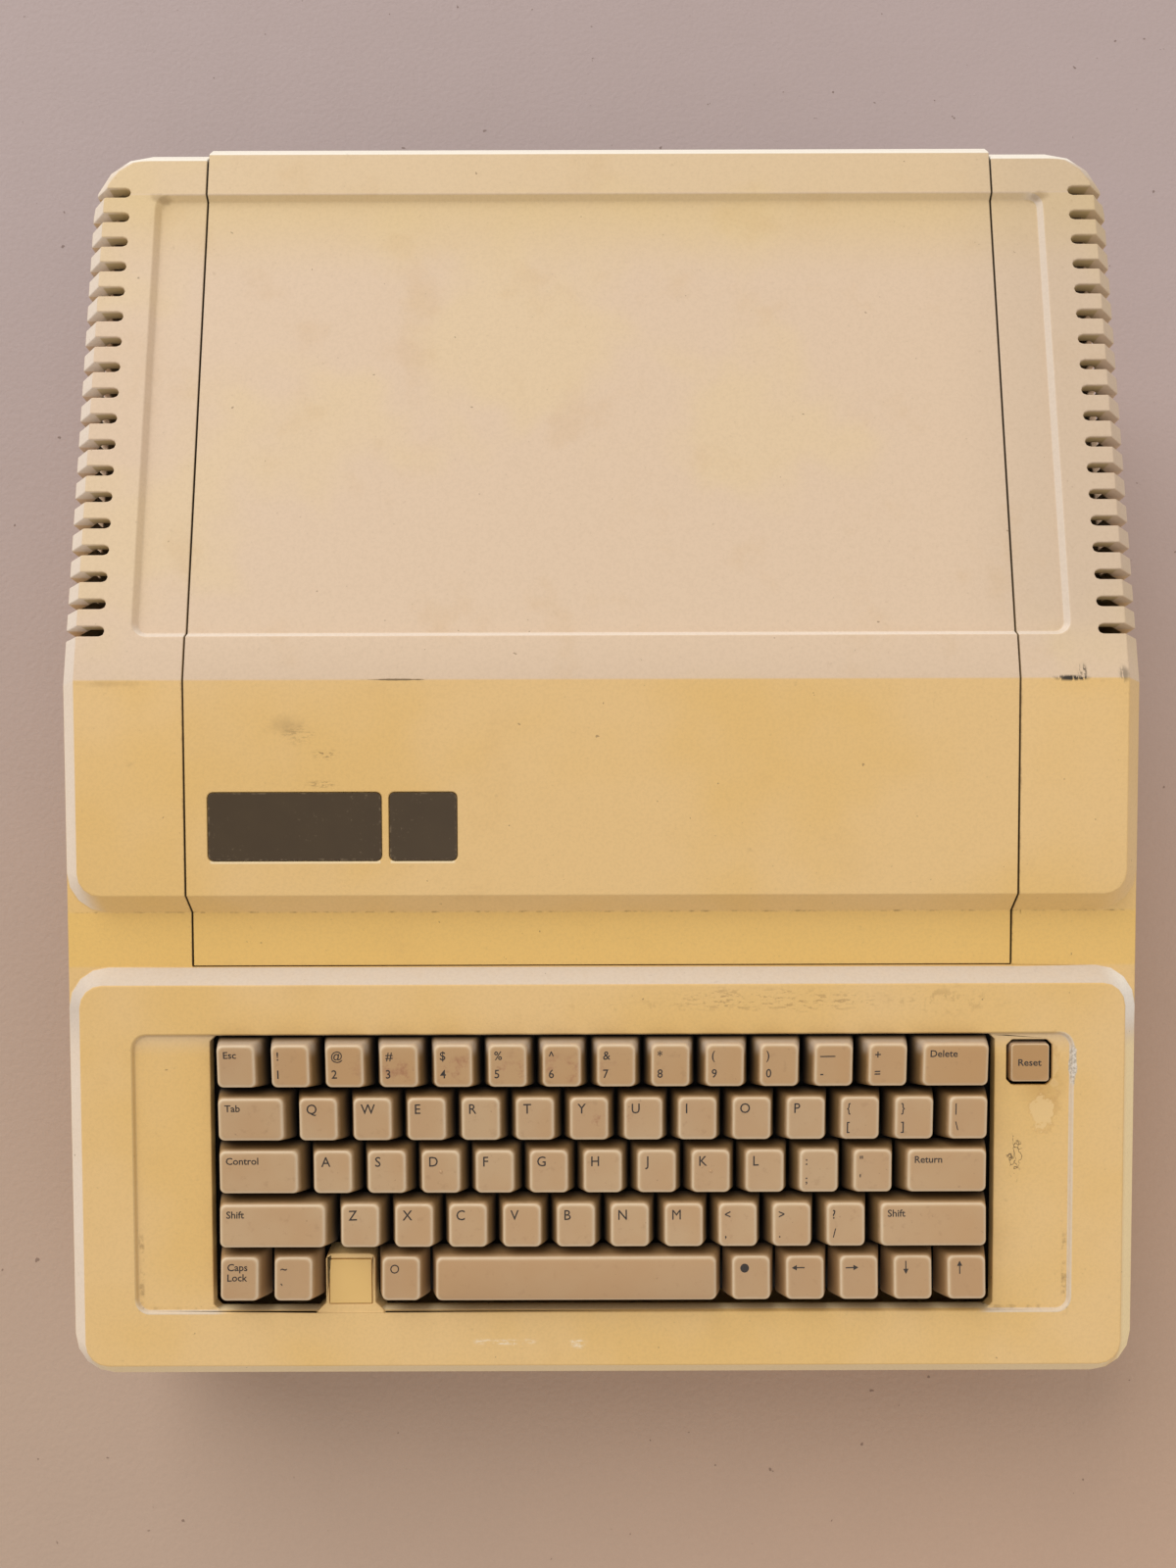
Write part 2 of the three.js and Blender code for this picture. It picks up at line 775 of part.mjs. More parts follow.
const plain = (count) => Array.from({ length: count }, () => ["", 1]);
const letters = (row) => row.split("").map((letter) => [`key_${letter}`, 1]);
const keyRows = [
  [["key_esc", 1], ...plain(12), ["key_delete", 1.5]],
  [["key_tab", 1.5], ...letters("qwertyuiop"), ...plain(3)],
  [["key_control", 1.75], ...letters("asdfghjkl"), ...plain(2), ["key_return", 1.75]],
  [["key_shift_left", 2.25], ...letters("zxcvbnm"), ...plain(3), ["key_shift_right", 2.25]],
  [
    ["key_caps_lock", 1],
    ...plain(1),
    ["lamp", 1],
    ["key_symbol_left", 1],
    ["key_space", 5.5],
    ["key_symbol_right", 1],
    ["key_cursor_left", 1],
    ["key_cursor_right", 1],
    ["key_cursor_down", 1],
    ["key_cursor_up", 1],
  ],
];

// How each row's tops stand above the keyboard's plane and lean towards the typist
const rowRises = [0.5, -0.2, -0.9, -0.3, -0.3];
const rowLeans = [5, 3, 1, -2, -4].map(THREE.MathUtils.degToRad);

const stemBottom = -(capHeight + keyTravel) + runningGap;
const housingTop = stemBottom + stemEngagement;
const plateTop = stemBottom - keyTravel - runningGap - housingFloor;
const plateBottom = plateTop - plateThickness;
const plateX = sideX - plateInset;
const plateY = (rowCount * keyPitch) / 2 + frameBorder;

const keyPlaces = keyRows.flatMap((row, index) => {
  let left = (-arrayUnits / 2) * keyPitch;
  return row.map(([name, units]) => {
    const width = units * keyPitch;
    const u = left + width / 2;
    left = left + width;
    const v = ((rowCount - 1) / 2 - index) * keyPitch;
    return { name, u, v, width, rise: rowRises[index], lean: rowLeans[index] };
  });
});

// A hollow cap with a shallow groove in its top and a stem below it
function keyCap({ width, length, topInset, topLength, shift, height, rise, lean, stemTo }) {
  const base = { x: span(0, width), y: span(0, length), radius: capCorner, steps: 1 };
  const rim = { x: span(0, width - 2 * topInset), y: span(shift, topLength), steps: 1 };
  const heightAt = (y) => rise + y * Math.tan(lean);
  const rimRing = outline({ ...rim, radius: capTopCorner, middles: true });
  const top = rimRing.map(([x, y]) => [x, y, heightAt(y) - (x === 0 ? capDish : 0)]);
  const bottom = atHeight(outline({ ...base, middles: true }), rise - height);
  const outer = skinned([bottom, top], null, ([x]) => x);
  const mouth = outline({ ...base, x: inset(base.x, capWall), y: inset(base.y, capWall) });
  const roof = outline({
    x: inset(rim.x, capWall),
    y: inset(rim.y, capWall),
    radius: capCorner,
    steps: 1,
  }).map(([x, y]) => [x, y, heightAt(y) - capTopThickness]);
  const inner = skinned([
    atHeight(mouth, rise - height - cutOverrun),
    atHeight(mouth, rise - height),
    roof,
  ]);
  const stem = block(
    span(0, stemWidth),
    span(0, stemLength),
    [stemTo, rise - capTopThickness + stemRoot],
  );
  return outer.subtract(inner).add(stem);
}

function rowKeyCap({ width, rise, lean }) {
  return keyCap({
    width: width - capGap,
    length: keyPitch - capGap,
    topInset: capTopInset,
    topLength: capTopLength,
    shift: capTopShift,
    height: capHeight + rise,
    rise,
    lean,
    stemTo: stemBottom,
  });
}

// The reset key stands alone, level with the deck and lower than the rows
const resetCapWidth = 14.6;
const resetCapHeight = 6;
const resetCapTopInset = 0.5;
const resetTravel = 2.5;
const resetSink = 0.4;
const inKeyboard = keyboardFrame.clone().invert().multiply(deckFrame);
const resetPlace = new THREE.Vector3(resetU, resetV, -resetSink).applyMatrix4(inKeyboard);
const resetHousingWidth = resetCapWidth - 2 * (capWall + resetCapTopInset + 2 * runningGap);
const resetHousingTop = resetPlace.z - capTopThickness - resetTravel - runningGap;

function resetCap() {
  return keyCap({
    width: resetCapWidth,
    length: resetCapWidth,
    topInset: resetCapTopInset,
    topLength: resetCapWidth - 2 * resetCapTopInset,
    shift: 0,
    height: resetCapHeight,
    rise: resetPlace.z,
    lean: 0,
    stemTo: stemBottom,
  });
}

// The frame: a plate with one switch housing below each key, and the keys that are moulded on
function keyboardPlate() {
  const plate = block([-plateX, plateX], [-plateY, plateY], [plateBottom, plateTop]);
  const keys = keyPlaces.filter(({ name }) => name !== "lamp");
  const housing = (u, v, width, length, top) =>
    block(span(u, width), span(v, length), [plateTop - plateThickness / 2, top]);
  const housings = keys.map(({ u, v }) => housing(u, v, housingWidth, housingLength, housingTop));
  housings.push(
    housing(resetPlace.x, resetPlace.y, resetHousingWidth, resetHousingWidth, resetHousingTop),
  );
  const shaft = (u, v) =>
    block(
      span(u, stemWidth + 2 * runningGap),
      span(v, stemLength + 2 * runningGap),
      [plateTop + housingFloor, housingTop + cutOverrun],
    );
  const moving = keys.filter(({ name }) => name);
  const shafts = moving.map(({ u, v }) => shaft(u, v));
  shafts.push(shaft(resetPlace.x, resetPlace.y));
  const fixed = keys.filter(({ name }) => !name);
  const caps = fixed.map((place) => rowKeyCap(place).translate(place.u, place.v, 0));
  return joined([cut(joined([plate, ...housings]), shafts), ...caps]);
}

addPiece("keyboard_frame", keyboardPlate(), keyPlastic, keyboardGroup);

keyPlaces
  .filter(({ name }) => name && name !== "lamp")
  .forEach((place) => {
    const key = addPiece(place.name, rowKeyCap(place), keyPlastic, keyboardGroup);
    key.position.set(place.u, place.v, 0);
  });
const resetKey = addPiece("key_reset", resetCap(), keyPlastic, keyboardGroup);
resetKey.position.set(resetPlace.x, resetPlace.y, 0);

// The keyboard's circuit board hangs below its plate, with a plug socket at the rear edge
const socketWidth = 40;
const socketLength = 8;
const socketHeight = 6;
const socketInset = 6;
const boardTop = plateBottom - restGap;
const boardBottom = boardTop - boardThickness;
const bracketFlange = 7;
const boardX = plateX - bracketFlange - restGap * 2;
const socketV = plateY - socketInset;

addPiece(
  "keyboard_board",
  joined([
    block([-boardX, boardX], [-plateY, plateY], [boardBottom, boardTop]),
    block(
      span(0, socketWidth),
      span(socketV, socketLength),
      [boardBottom - socketHeight, boardBottom + boardThickness / 2],
    ),
  ]),
  boardLaminate,
  keyboardGroup,
);

// The base pan closes the case from below. Two brackets on it carry the keyboard.
const panX = sideX - wall - seamGap;
const panRearSetback = 8.6;
const panRearY = caseRearY - panRearSetback;
const bracketInset = 14;
const footRadius = 10;
const footSides = 16;
const footChamfer = 1;
const footInset = 30;
const footRearSetback = 36;
const standoffRadius = 3;
const standoffSides = 8;
const standoffHeight = 7.8;
const boardZ = panZ[1] + standoffHeight + restGap;

const sidePoint = (frame, v, w) => {
  const point = new THREE.Vector3(0, v, w).applyMatrix4(frame);
  return [point.y, point.z];
};

function keyboardBrackets() {
  const w = plateBottom - restGap;
  const reach = plateY - bracketInset;
  return [-1, 1].flatMap((side) => {
    const ends = [side * (plateX - bracketFlange), side * plateX].sort((a, b) => a - b);
    const flange = block(ends, [-reach, reach], [w - sheet, w], keyboardFrame);
    const front = sidePoint(keyboardFrame, -reach, w - sheet / 2);
    const rear = sidePoint(keyboardFrame, reach, w - sheet / 2);
    const foot = panZ[1] - sheet / 2;
    const web = [front, [front[0], foot], [rear[0], foot], rear];
    const webX = span(side * (plateX - bracketFlange / 2), sheet);
    return [flange, acrossCase(web.reverse(), webX)];
  });
}

// The main circuit board fills the bay to the right of the power supply
const supplyWidth = 74;
const supplyHeight = 61.5;
const sideRoom = 11.5;
const bayGap = 6;
const supplyX = [-sideX + wall + sideRoom, -sideX + wall + sideRoom + supplyWidth];
const mainRearSetback = 11;
const mainFrontReach = 34.2;
const mainX = [supplyX[1] + bayGap, sideX - wall - sideRoom];
const mainRearY = panRearY - mainRearSetback;
const mainY = [ridgeY - mainFrontReach, mainRearY];
const mainCornerInset = 8;

function standoffs() {
  const x = [mainX[0] + mainCornerInset, (mainX[0] + mainX[1]) / 2, mainX[1] - mainCornerInset];
  const y = [mainY[0] + mainCornerInset, mainY[1] - mainCornerInset];
  const z = [panZ[1] - sheet / 2, panZ[1] + standoffHeight];
  return x.flatMap((px) => y.map((py) => post(px, py, z, standoffRadius, standoffSides)));
}

const panRing = outline({
  x: [-panX, panX],
  y: [panFrontY, panRearY],
  radius: cornerRadius - wall - seamGap,
  rear: rearCornerRadius - wall,
});
const pan = skinned(panZ.map((z) => atHeight(panRing, z)));
addPiece("base_pan", joined([pan, ...keyboardBrackets(), ...standoffs()]), zincSteel);

// Four rubber feet
const footX = sideX - footInset;
const footY = { front: panFrontY + footInset, rear: panRearY - footRearSetback };
const footZ = [footChamfer, panZ[0] - restGap];
const footSole = footRadius - footChamfer;
const foot = (x, y) =>
  post(x, y, footZ, footRadius, footSides).add(
    post(x, y, [0, footChamfer], footSole, footSides, footRadius),
  );
Object.entries(footY).forEach(([end, y]) => {
  addPiece(`foot_${end}_left`, foot(-footX, y), rubber);
  addPiece(`foot_${end}_right`, foot(footX, y), rubber);
});

// The power supply is a folded box with vent slots in its top. The cord's inlet and the rocker
// stand in wells of the block that closes its rear.
const supplyY = [mainY[0] + bayGap, panRearY - bayGap / 2];
const supplyZ = [panZ[1] + restGap, panZ[1] + restGap + supplyHeight];
const supplyMiddleX = (supplyX[0] + supplyX[1]) / 2;
const inletWidth = 24;
const inletHeight = 16;
const inletDepth = 14;
const inletRise = 16;
const inletZ = supplyZ[0] + inletRise;
const rockerWidth = 13;
const rockerHeight = 20;
const rockerDepth = 6;
const rockerProud = 1.2;
const rockerDip = 1;
const rockerTaper = 3;
const rockerPocketDepth = 14;
const wellFloor = 2.4;
const rockerDrop = 18;
const rockerZ = supplyZ[1] - rockerDrop;
const rockerSwing = THREE.MathUtils.degToRad(8);
const lipReach = 6;
const supplyVentCount = 14;
const supplyVentPitch = 8;
const supplyVentWidth = 3;
const supplyVentLength = 44;
const supplyVentSetback = 24;

function powerSupply() {
  const box = block(supplyX, supplyY, supplyZ);
  const hollow = block(inset(supplyX, sheet), inset(supplyY, sheet), inset(supplyZ, sheet));
  const vents = Array.from({ length: supplyVentCount }, (unused, index) =>
    block(
      span(supplyMiddleX, supplyVentLength),
      span(supplyY[0] + supplyVentSetback + index * supplyVentPitch, supplyVentWidth),
      [supplyZ[1] - 2 * sheet, supplyZ[1] + cutOverrun],
    ),
  );
  const lip = block(
    inset(supplyX, lipReach),
    [supplyY[0] - lipReach, supplyY[0] + lipReach],
    [supplyZ[0], supplyZ[0] + sheet],
  );
  const wells = [
    { x: inletWidth, depth: inletDepth, middle: inletZ, z: inletHeight },
    {
      x: rockerWidth + 2 * runningGap,
      depth: rockerPocketDepth,
      middle: rockerZ,
      z: rockerHeight + 2 * (rockerProud + runningGap),
    },
  ];
  const deepest = Math.max(...wells.map(({ depth }) => depth));
  const rearBlock = block(
    inset(supplyX, sheet),
    [supplyY[1] - deepest - wellFloor, supplyY[1] - sheet / 2],
    inset(supplyZ, sheet),
  );
  const openings = wells.map(({ x, depth, middle, z }) =>
    block(
      span(supplyMiddleX, x),
      [supplyY[1] - depth, supplyY[1] + cutOverrun],
      span(middle, z),
    ),
  );
  const folded = cut(box, [hollow, ...vents]);
  return joined([cut(joined([folded, rearBlock]), openings), lip]);
}

addPiece("power_supply", powerSupply(), zincSteel);

// The rocker turns about a line across the machine, just inside the supply's rear face
const rockerHalf = rockerHeight / 2;
const rocker = acrossCase(
  [
    [rockerProud, -rockerHalf],
    [rockerProud - rockerDip, 0],
    [rockerProud, rockerHalf],
    [-rockerDepth, rockerHalf - rockerTaper],
    [-rockerDepth, -rockerHalf + rockerTaper],
  ],
  span(0, rockerWidth),
);
const rockerKey = addPiece("power_switch", rocker, switchPlastic);
rockerKey.position.set(supplyMiddleX, supplyY[1], rockerZ);
rockerKey.rotation.x = rockerSwing;

// The main board: card slots with their grooves, chips in rows, and the bored jacks at its rear
const slotCount = 7;
const slotPitch = 20.3;
const slotWidth = 9;
const slotHeight = 15;
const slotLength = 76;
const slotRearSetback = 14;
const slotLeftInset = 18;
const slotGrooveWidth = 2;
const slotGrooveDepth = 8;
const slotGrooveInset = 4;
const largeChip = { width: 52, length: 14 };
const smallChip = { width: 20, length: 7.5 };
const chipRowKinds = [largeChip, largeChip, smallChip, smallChip];
const chipHeight = 4;
const chipGap = 8;
const chipRowPitch = 24;
const chipInset = 26;
const chipRoom = mainX[1] - mainX[0] - 2 * chipInset;
const jackCount = 4;
const jackWidth = 14;
const jackHeight = 12;
const jackLength = 15;
const jackPitch = 24;
const jackInset = 22;
const jackBore = 6.4;
const jackBoreDepth = 9;
const jackBoreSides = 12;
const mainZ = [boardZ, boardZ + boardThickness];

const slotY = [mainY[1] - slotRearSetback - slotLength, mainY[1] - slotRearSetback];
const slotX = Array.from(
  { length: slotCount },
  (unused, index) => mainX[0] + slotLeftInset + index * slotPitch,
);
const jackX = Array.from(
  { length: jackCount },
  (unused, index) => mainX[1] - jackInset - index * jackPitch,
);

function mainBoard() {
  const board = block(mainX, mainY, mainZ);
  const on = (x, y, height) => block(x, y, [mainZ[1] - boardThickness / 2, mainZ[1] + height]);
  const slotTop = mainZ[1] + slotHeight;
  const slots = slotX.map((x) => on(span(x, slotWidth), slotY, slotHeight));
  const grooves = slotX.map((x) =>
    block(
      span(x, slotGrooveWidth),
      inset(slotY, slotGrooveInset),
      [slotTop - slotGrooveDepth, slotTop + cutOverrun],
    ),
  );
  const chips = chipRowKinds.flatMap(({ width, length }, row) => {
    const count = Math.floor((chipRoom + chipGap) / (width + chipGap));
    return Array.from({ length: count }, (unused, index) =>
      on(
        span(mainX[0] + chipInset + width / 2 + index * (width + chipGap), width),
        span(mainY[0] + chipInset + row * chipRowPitch, length),
        chipHeight,
      ),
    );
  });
  const jacks = jackX.map((x) =>
    on(span(x, jackWidth), [mainY[1] - jackLength / 2, mainY[1] + jackLength], jackHeight),
  );
  const bores = jackX.map((x) => {
    const bore = post(0, 0, [-jackBoreDepth, cutOverrun], jackBore / 2, jackBoreSides);
    const middle = mainZ[1] + jackHeight / 2;
    return bore.rotate([-90, 0, 0]).translate([x, mainY[1] + jackLength, middle]);
  });
  return cut(joined([board, ...slots, ...chips, ...jacks]), [...grooves, ...bores]);
}

addPiece("motherboard", mainBoard(), boardLaminate);

// The rear panel stands behind the board and the power supply. It has a window for each jack,
// for the cord inlet and for the rocker, and raised blanks over the spare ports.
const rearPanelX = rearWindowWidth / 2 - cutOverrun;
const rearPanelY = [panRearY + restGap, panRearY + restGap + sheet];
const rearPanelTop = overallHeight - lidLipDrop - seamGap;
const windowMargin = 2;
const blankWidth = 14;
const blankHeight = 34;
const blankThickness = 0.8;
const blankTopInset = 10;

function rearPanel() {
  const panel = block([-rearPanelX, rearPanelX], rearPanelY, [panZ[1] + restGap, rearPanelTop]);
  const through = [rearPanelY[0] - cutOverrun, rearPanelY[1] + cutOverrun];
  const window = (x, z) => block(inset(x, -windowMargin), through, inset(z, -windowMargin));
  const windows = [
    window(span(supplyMiddleX, inletWidth), span(inletZ, inletHeight)),
    window(span(supplyMiddleX, rockerWidth), span(rockerZ, rockerHeight)),
    ...jackX.map((x) => window(span(x, jackWidth), [mainZ[1], mainZ[1] + jackHeight])),
  ];
  const blanks = slotX.map((x) =>
    block(
      span(x, blankWidth),
      [rearPanelY[1] - sheet / 2, rearPanelY[1] + blankThickness],
      [rearPanelTop - blankTopInset - blankHeight, rearPanelTop - blankTopInset],
    ),
  );
  return joined([cut(panel, windows), ...blanks]);
}

addPiece("rear_panel", rearPanel(), zincSteel);

// The loudspeaker lies on the pan below the left of the keyboard
const speakerRadius = 38;
const speakerSides = 24;
const speakerFlange = 3;
const speakerHeight = 20;
const magnetRadius = 18;
const speakerInset = 80.5;
const speakerX = -sideX + speakerInset;
const speakerSetback = 48;
const speakerY = panFrontY + speakerSetback;
const speakerZ = panZ[1] + restGap;

function speaker() {
  const turned = ([low, high], radius, topRadius = radius) =>
    post(speakerX, speakerY, [speakerZ + low, speakerZ + high], radius, speakerSides, topRadius);
  const flange = turned([0, speakerFlange], speakerRadius);
  const basket = turned(
    [speakerFlange / 2, speakerHeight - speakerFlange],
    speakerRadius - speakerFlange,
    magnetRadius,
  );
  const magnet = turned([speakerFlange, speakerHeight], magnetRadius);
  return joined([flange, basket, magnet]);
}

addPiece("speaker", speaker(), speakerPaper);

// A ribbon cable runs from the keyboard's socket back to the main board
const ribbonThickness = 1;
const ribbonWidth = 34;
const ribbonSag = 10;
const ribbonLead = 6;
const ribbonLanding = 12;
const socketBottom = boardBottom - socketHeight - restGap - ribbonThickness;
const ribbonStart = sidePoint(keyboardFrame, socketV - socketLength / 2, socketBottom);
const ribbonTurn = sidePoint(keyboardFrame, socketV + socketLength, socketBottom);
const ribbonEnd = [mainY[0] + ribbonLanding, mainZ[1] + restGap];
addPiece(
  "keyboard_cable",
  acrossCase(
    strip(
      [
        ribbonEnd,
        [mainY[0] - ribbonLead, ribbonEnd[1]],
        [mainY[0] - 2 * ribbonLead, ribbonEnd[1] + ribbonSag],
        ribbonTurn,
        ribbonStart,
      ],
      0,
      -ribbonThickness,
    ),
    span(0, ribbonWidth),
  ),
  ribbonVinyl,
);

export default machine;
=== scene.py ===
"""The looks of an early 1980s desktop home computer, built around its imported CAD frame.

The machine goes together from the table up: feet, pan, power supply, boards, keyboard, case, lid.
Sizes are in millimetres until a mesh is finished, and metres in every finished mesh.
"""

import json
import math

import bmesh
import bpy
from mathutils import Matrix, Vector

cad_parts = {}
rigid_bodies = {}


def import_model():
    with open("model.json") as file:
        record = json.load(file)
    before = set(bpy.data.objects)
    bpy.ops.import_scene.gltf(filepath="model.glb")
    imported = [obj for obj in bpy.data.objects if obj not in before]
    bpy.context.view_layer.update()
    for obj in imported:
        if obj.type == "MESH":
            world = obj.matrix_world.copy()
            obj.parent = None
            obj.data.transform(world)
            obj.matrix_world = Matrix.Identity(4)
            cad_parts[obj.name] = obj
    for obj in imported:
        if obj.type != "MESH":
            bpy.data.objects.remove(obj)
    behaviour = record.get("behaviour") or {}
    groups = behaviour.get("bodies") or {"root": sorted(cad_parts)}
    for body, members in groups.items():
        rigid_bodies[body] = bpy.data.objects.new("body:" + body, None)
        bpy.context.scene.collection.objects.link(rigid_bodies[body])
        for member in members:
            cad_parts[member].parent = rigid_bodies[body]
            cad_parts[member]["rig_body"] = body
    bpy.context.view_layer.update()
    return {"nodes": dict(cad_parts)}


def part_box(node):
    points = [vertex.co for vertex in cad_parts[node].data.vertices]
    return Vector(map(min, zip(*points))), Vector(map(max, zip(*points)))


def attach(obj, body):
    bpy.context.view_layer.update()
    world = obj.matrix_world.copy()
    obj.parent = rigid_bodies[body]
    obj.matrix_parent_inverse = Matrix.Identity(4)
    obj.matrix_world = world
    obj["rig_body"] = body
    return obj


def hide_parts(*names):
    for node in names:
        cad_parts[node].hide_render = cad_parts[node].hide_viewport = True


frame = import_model()

# ---------------------------------------------------------------------------------------------
# Base pan
# One sheet of zinc-plated steel, cut, folded for the keyboard's brackets and closed on the case
# from below with six screws, which come up into the moulding's bosses.

MM = 0.001


class Wire:
    """An output of a node. Arithmetic on values adds Math nodes, and node() adds any other."""

    def __init__(self, tree, socket=None):
        self.tree = tree
        self.socket = socket

    def node(self, kind, settings=None, inputs=None, output=0):
        made = self.tree.nodes.new(kind)
        for name, value in (settings or {}).items():
            setattr(made, name, value)
        for name, value in (inputs or {}).items():
            if isinstance(value, Wire):
                self.tree.links.new(value.socket, made.inputs[name])
            else:
                made.inputs[name].default_value = value
        return Wire(self.tree, made.outputs[output] if len(made.outputs) else None)

    def maths(self, operation, *others):
        values = dict(enumerate((self, *others)))
        return self.node("ShaderNodeMath", {"operation": operation}, values)

    def larger(self, other):
        return self.maths("MAXIMUM", other)

    def __add__(self, other):
        return self.maths("ADD", other)

    def __sub__(self, other):
        return self.maths("SUBTRACT", other)

    def __mul__(self, other):
        return self.maths("MULTIPLY", other)

    def __rsub__(self, other):
        return self.node("ShaderNodeMath", {"operation": "SUBTRACT"}, {0: other, 1: self})

    __radd__ = __add__
    __rmul__ = __mul__


def paint(code):
    """The linear colour of a #RRGGBB code."""
    levels = [int(code[i : i + 2], 16) / 255 for i in (1, 3, 5)]
    linear = [c / 12.92 if c <= 0.04045 else ((c + 0.055) / 1.055) ** 2.4 for c in levels]
    return (*linear, 1.0)


def blended(share, *pair):
    """One colour fading into another. A colour is a wire or a #RRGGBB code."""
    first, second = (paint(colour) if isinstance(colour, str) else colour for colour in pair)
    inputs = {0: share, 6: first, 7: second}
    return share.node("ShaderNodeMix", {"data_type": "RGBA"}, inputs, 2)


def mottle(place, scale, detail=2.0, roughness=0.5):
    """Soft noise from 0 to 1. scale is in patches to the metre."""
    inputs = {"Vector": place, "Scale": scale, "Detail": detail, "Roughness": roughness}
    return place.node("ShaderNodeTexNoise", None, inputs)


def dimpled(height, strength, depth):
    """A normal for a surface that is rough to the touch. depth is in metres."""
    inputs = {"Height": height, "Strength": strength, "Distance": depth}
    return height.node("ShaderNodeBump", None, inputs)


def new_material(name):
    """An empty material, and the place on the object that its pattern reads."""
    material = bpy.data.materials.new(name)
    material.use_nodes = True
    material.node_tree.nodes.clear()
    return material, Wire(material.node_tree).node("ShaderNodeTexCoord", output="Object")


def finish_with(material, place, inputs):
    """Closes a material with one surface shader."""
    surface = place.node("ShaderNodeBsdfPrincipled", None, inputs)
    place.node("ShaderNodeOutputMaterial", None, {"Surface": surface})
    return material


def zinc_plate(name, light, dark):
    """Zinc-plated sheet, with the faint flowers of the plating and a dull bloom."""
    material, place = new_material(name)
    flowers = place.node("ShaderNodeTexVoronoi", None, {"Vector": place, "Scale": 160.0}, "Color")
    grey = flowers.node("ShaderNodeRGBToBW", None, {"Color": flowers})
    bloom = mottle(place, 22, 5, 0.6)
    return finish_with(material, place, {
        "Base Color": blended(grey * 0.14 + bloom * 0.4 + 0.2, dark, light),
        "Metallic": 0.9,
        "Roughness": 0.32 + bloom * 0.2 + grey * 0.05,
        "Normal": dimpled(mottle(place, 900, 2), 0.12, 0.0002),
    })


def in_scene(name, data):
    """A new object in the scene."""
    item = bpy.data.objects.new(name, data)
    bpy.context.scene.collection.objects.link(item)
    return item


def plain_mesh(item):
    """A mesh of what an object looks like with its modifiers run, or its curves filled."""
    seen = item.evaluated_get(bpy.context.evaluated_depsgraph_get())
    return bpy.data.meshes.new_from_object(seen)


def new_piece(name, mesh, materials, body="body", replaces=()):
    """A finished piece that rides on a CAD body and stands for some CAD nodes."""
    for material in materials:
        mesh.materials.append(material)
    piece = in_scene(name, mesh)
    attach(piece, body)
    if replaces:
        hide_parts(*replaces)


def even_shading(mesh):
    """The mesh with normals that keep its large faces flat beside their rounded edges."""
    holder = in_scene("holder", mesh)
    evener = holder.modifiers.new("even", "WEIGHTED_NORMAL")
    evener.keep_sharp = True
    even = plain_mesh(holder)
    bpy.data.objects.remove(holder)
    bpy.data.meshes.remove(mesh)
    return even


def facet_shading(mesh, angle):
    """Smooth shading, with the edges sharper than an angle in degrees kept crisp."""
    mesh.shade_smooth()
    mesh.set_sharp_from_angle(angle=math.radians(angle))
    return mesh


# Two facets of a round corner turn by less than this, and two faces at an edge by more.
FACET_TURN = math.radians(22)


def softened(node, width, chosen=None):
    """A copy of a CAD node's mesh with its edges rounded. chosen picks them by their middle."""
    mesh = frame["nodes"][node].data.copy()
    mesh.materials.clear()
    shape = bmesh.new()
    shape.from_mesh(mesh)
    bmesh.ops.remove_doubles(shape, verts=shape.verts, dist=0.002 * MM)
    bmesh.ops.dissolve_limit(
        shape, angle_limit=math.radians(0.6), verts=shape.verts, edges=shape.edges
    )
    edges = []
    for edge in shape.edges:
        if edge.calc_face_angle(0) > FACET_TURN:
            middle = (edge.verts[0].co + edge.verts[1].co) / 2 / MM
            if chosen is None or chosen(middle, edge):
                edges.append(edge)
    bmesh.ops.bevel(
        shape, geom=edges, offset=width * MM, segments=2, profile=0.5, affect="EDGES",
        clamp_overlap=False,
    )
    bmesh.ops.recalc_face_normals(shape, faces=shape.faces)
    shape.to_mesh(mesh)
    shape.free()
    return even_shading(facet_shading(mesh, 32))


def new_tree(name, sizes):
    """A geometry tree that takes points and named sizes, which it returns as wires."""
    tree = bpy.data.node_groups.new(name, "GeometryNodeTree")
    tree.interface.new_socket("Places", in_out="INPUT", socket_type="NodeSocketGeometry")
    for size in sizes:
        tree.interface.new_socket(size, in_out="INPUT", socket_type="NodeSocketFloat")
    tree.interface.new_socket("Pieces", in_out="OUTPUT", socket_type="NodeSocketGeometry")
    entry = Wire(tree).node("NodeGroupInput").socket.node
    return tree, {socket.name: Wire(tree, socket) for socket in entry.outputs if socket.name}


def vector(x, y, z):
    """A vector of wires and numbers, in a geometry tree."""
    tree = next(part for part in (x, y, z) if isinstance(part, Wire))
    return tree.node("ShaderNodeCombineXYZ", None, {0: x, 1: y, 2: z})


def block(width, length, height):
    """A block about the origin of the tree."""
    size = vector(width, length, height)
    return size.node("GeometryNodeMeshCube", None, {"Size": size})


def moved(shape, x, y, z):
    inputs = {"Geometry": shape, "Translation": vector(x, y, z)}
    return shape.node("GeometryNodeTransform", None, inputs)


def minus(solid, cutter):
    return solid.node(
        "GeometryNodeMeshBoolean", {"operation": "DIFFERENCE"}, {"Mesh 1": solid, "Mesh 2": cutter}
    )


def end_tree(given, shape, material, turn=(0.0, 0.0, 0.0)):
    """Sets one shape at every point of the tree and closes it."""
    repeat = {"Points": given["Places"], "Instance": shape, "Rotation": turn}
    spread = shape.node("GeometryNodeInstanceOnPoints", None, repeat)
    real = spread.node("GeometryNodeRealizeInstances", None, {0: spread})
    coated = real.node("GeometryNodeSetMaterial", None, {"Geometry": real, "Material": material})
    coated.node("NodeGroupOutput", None, {"Pieces": coated})


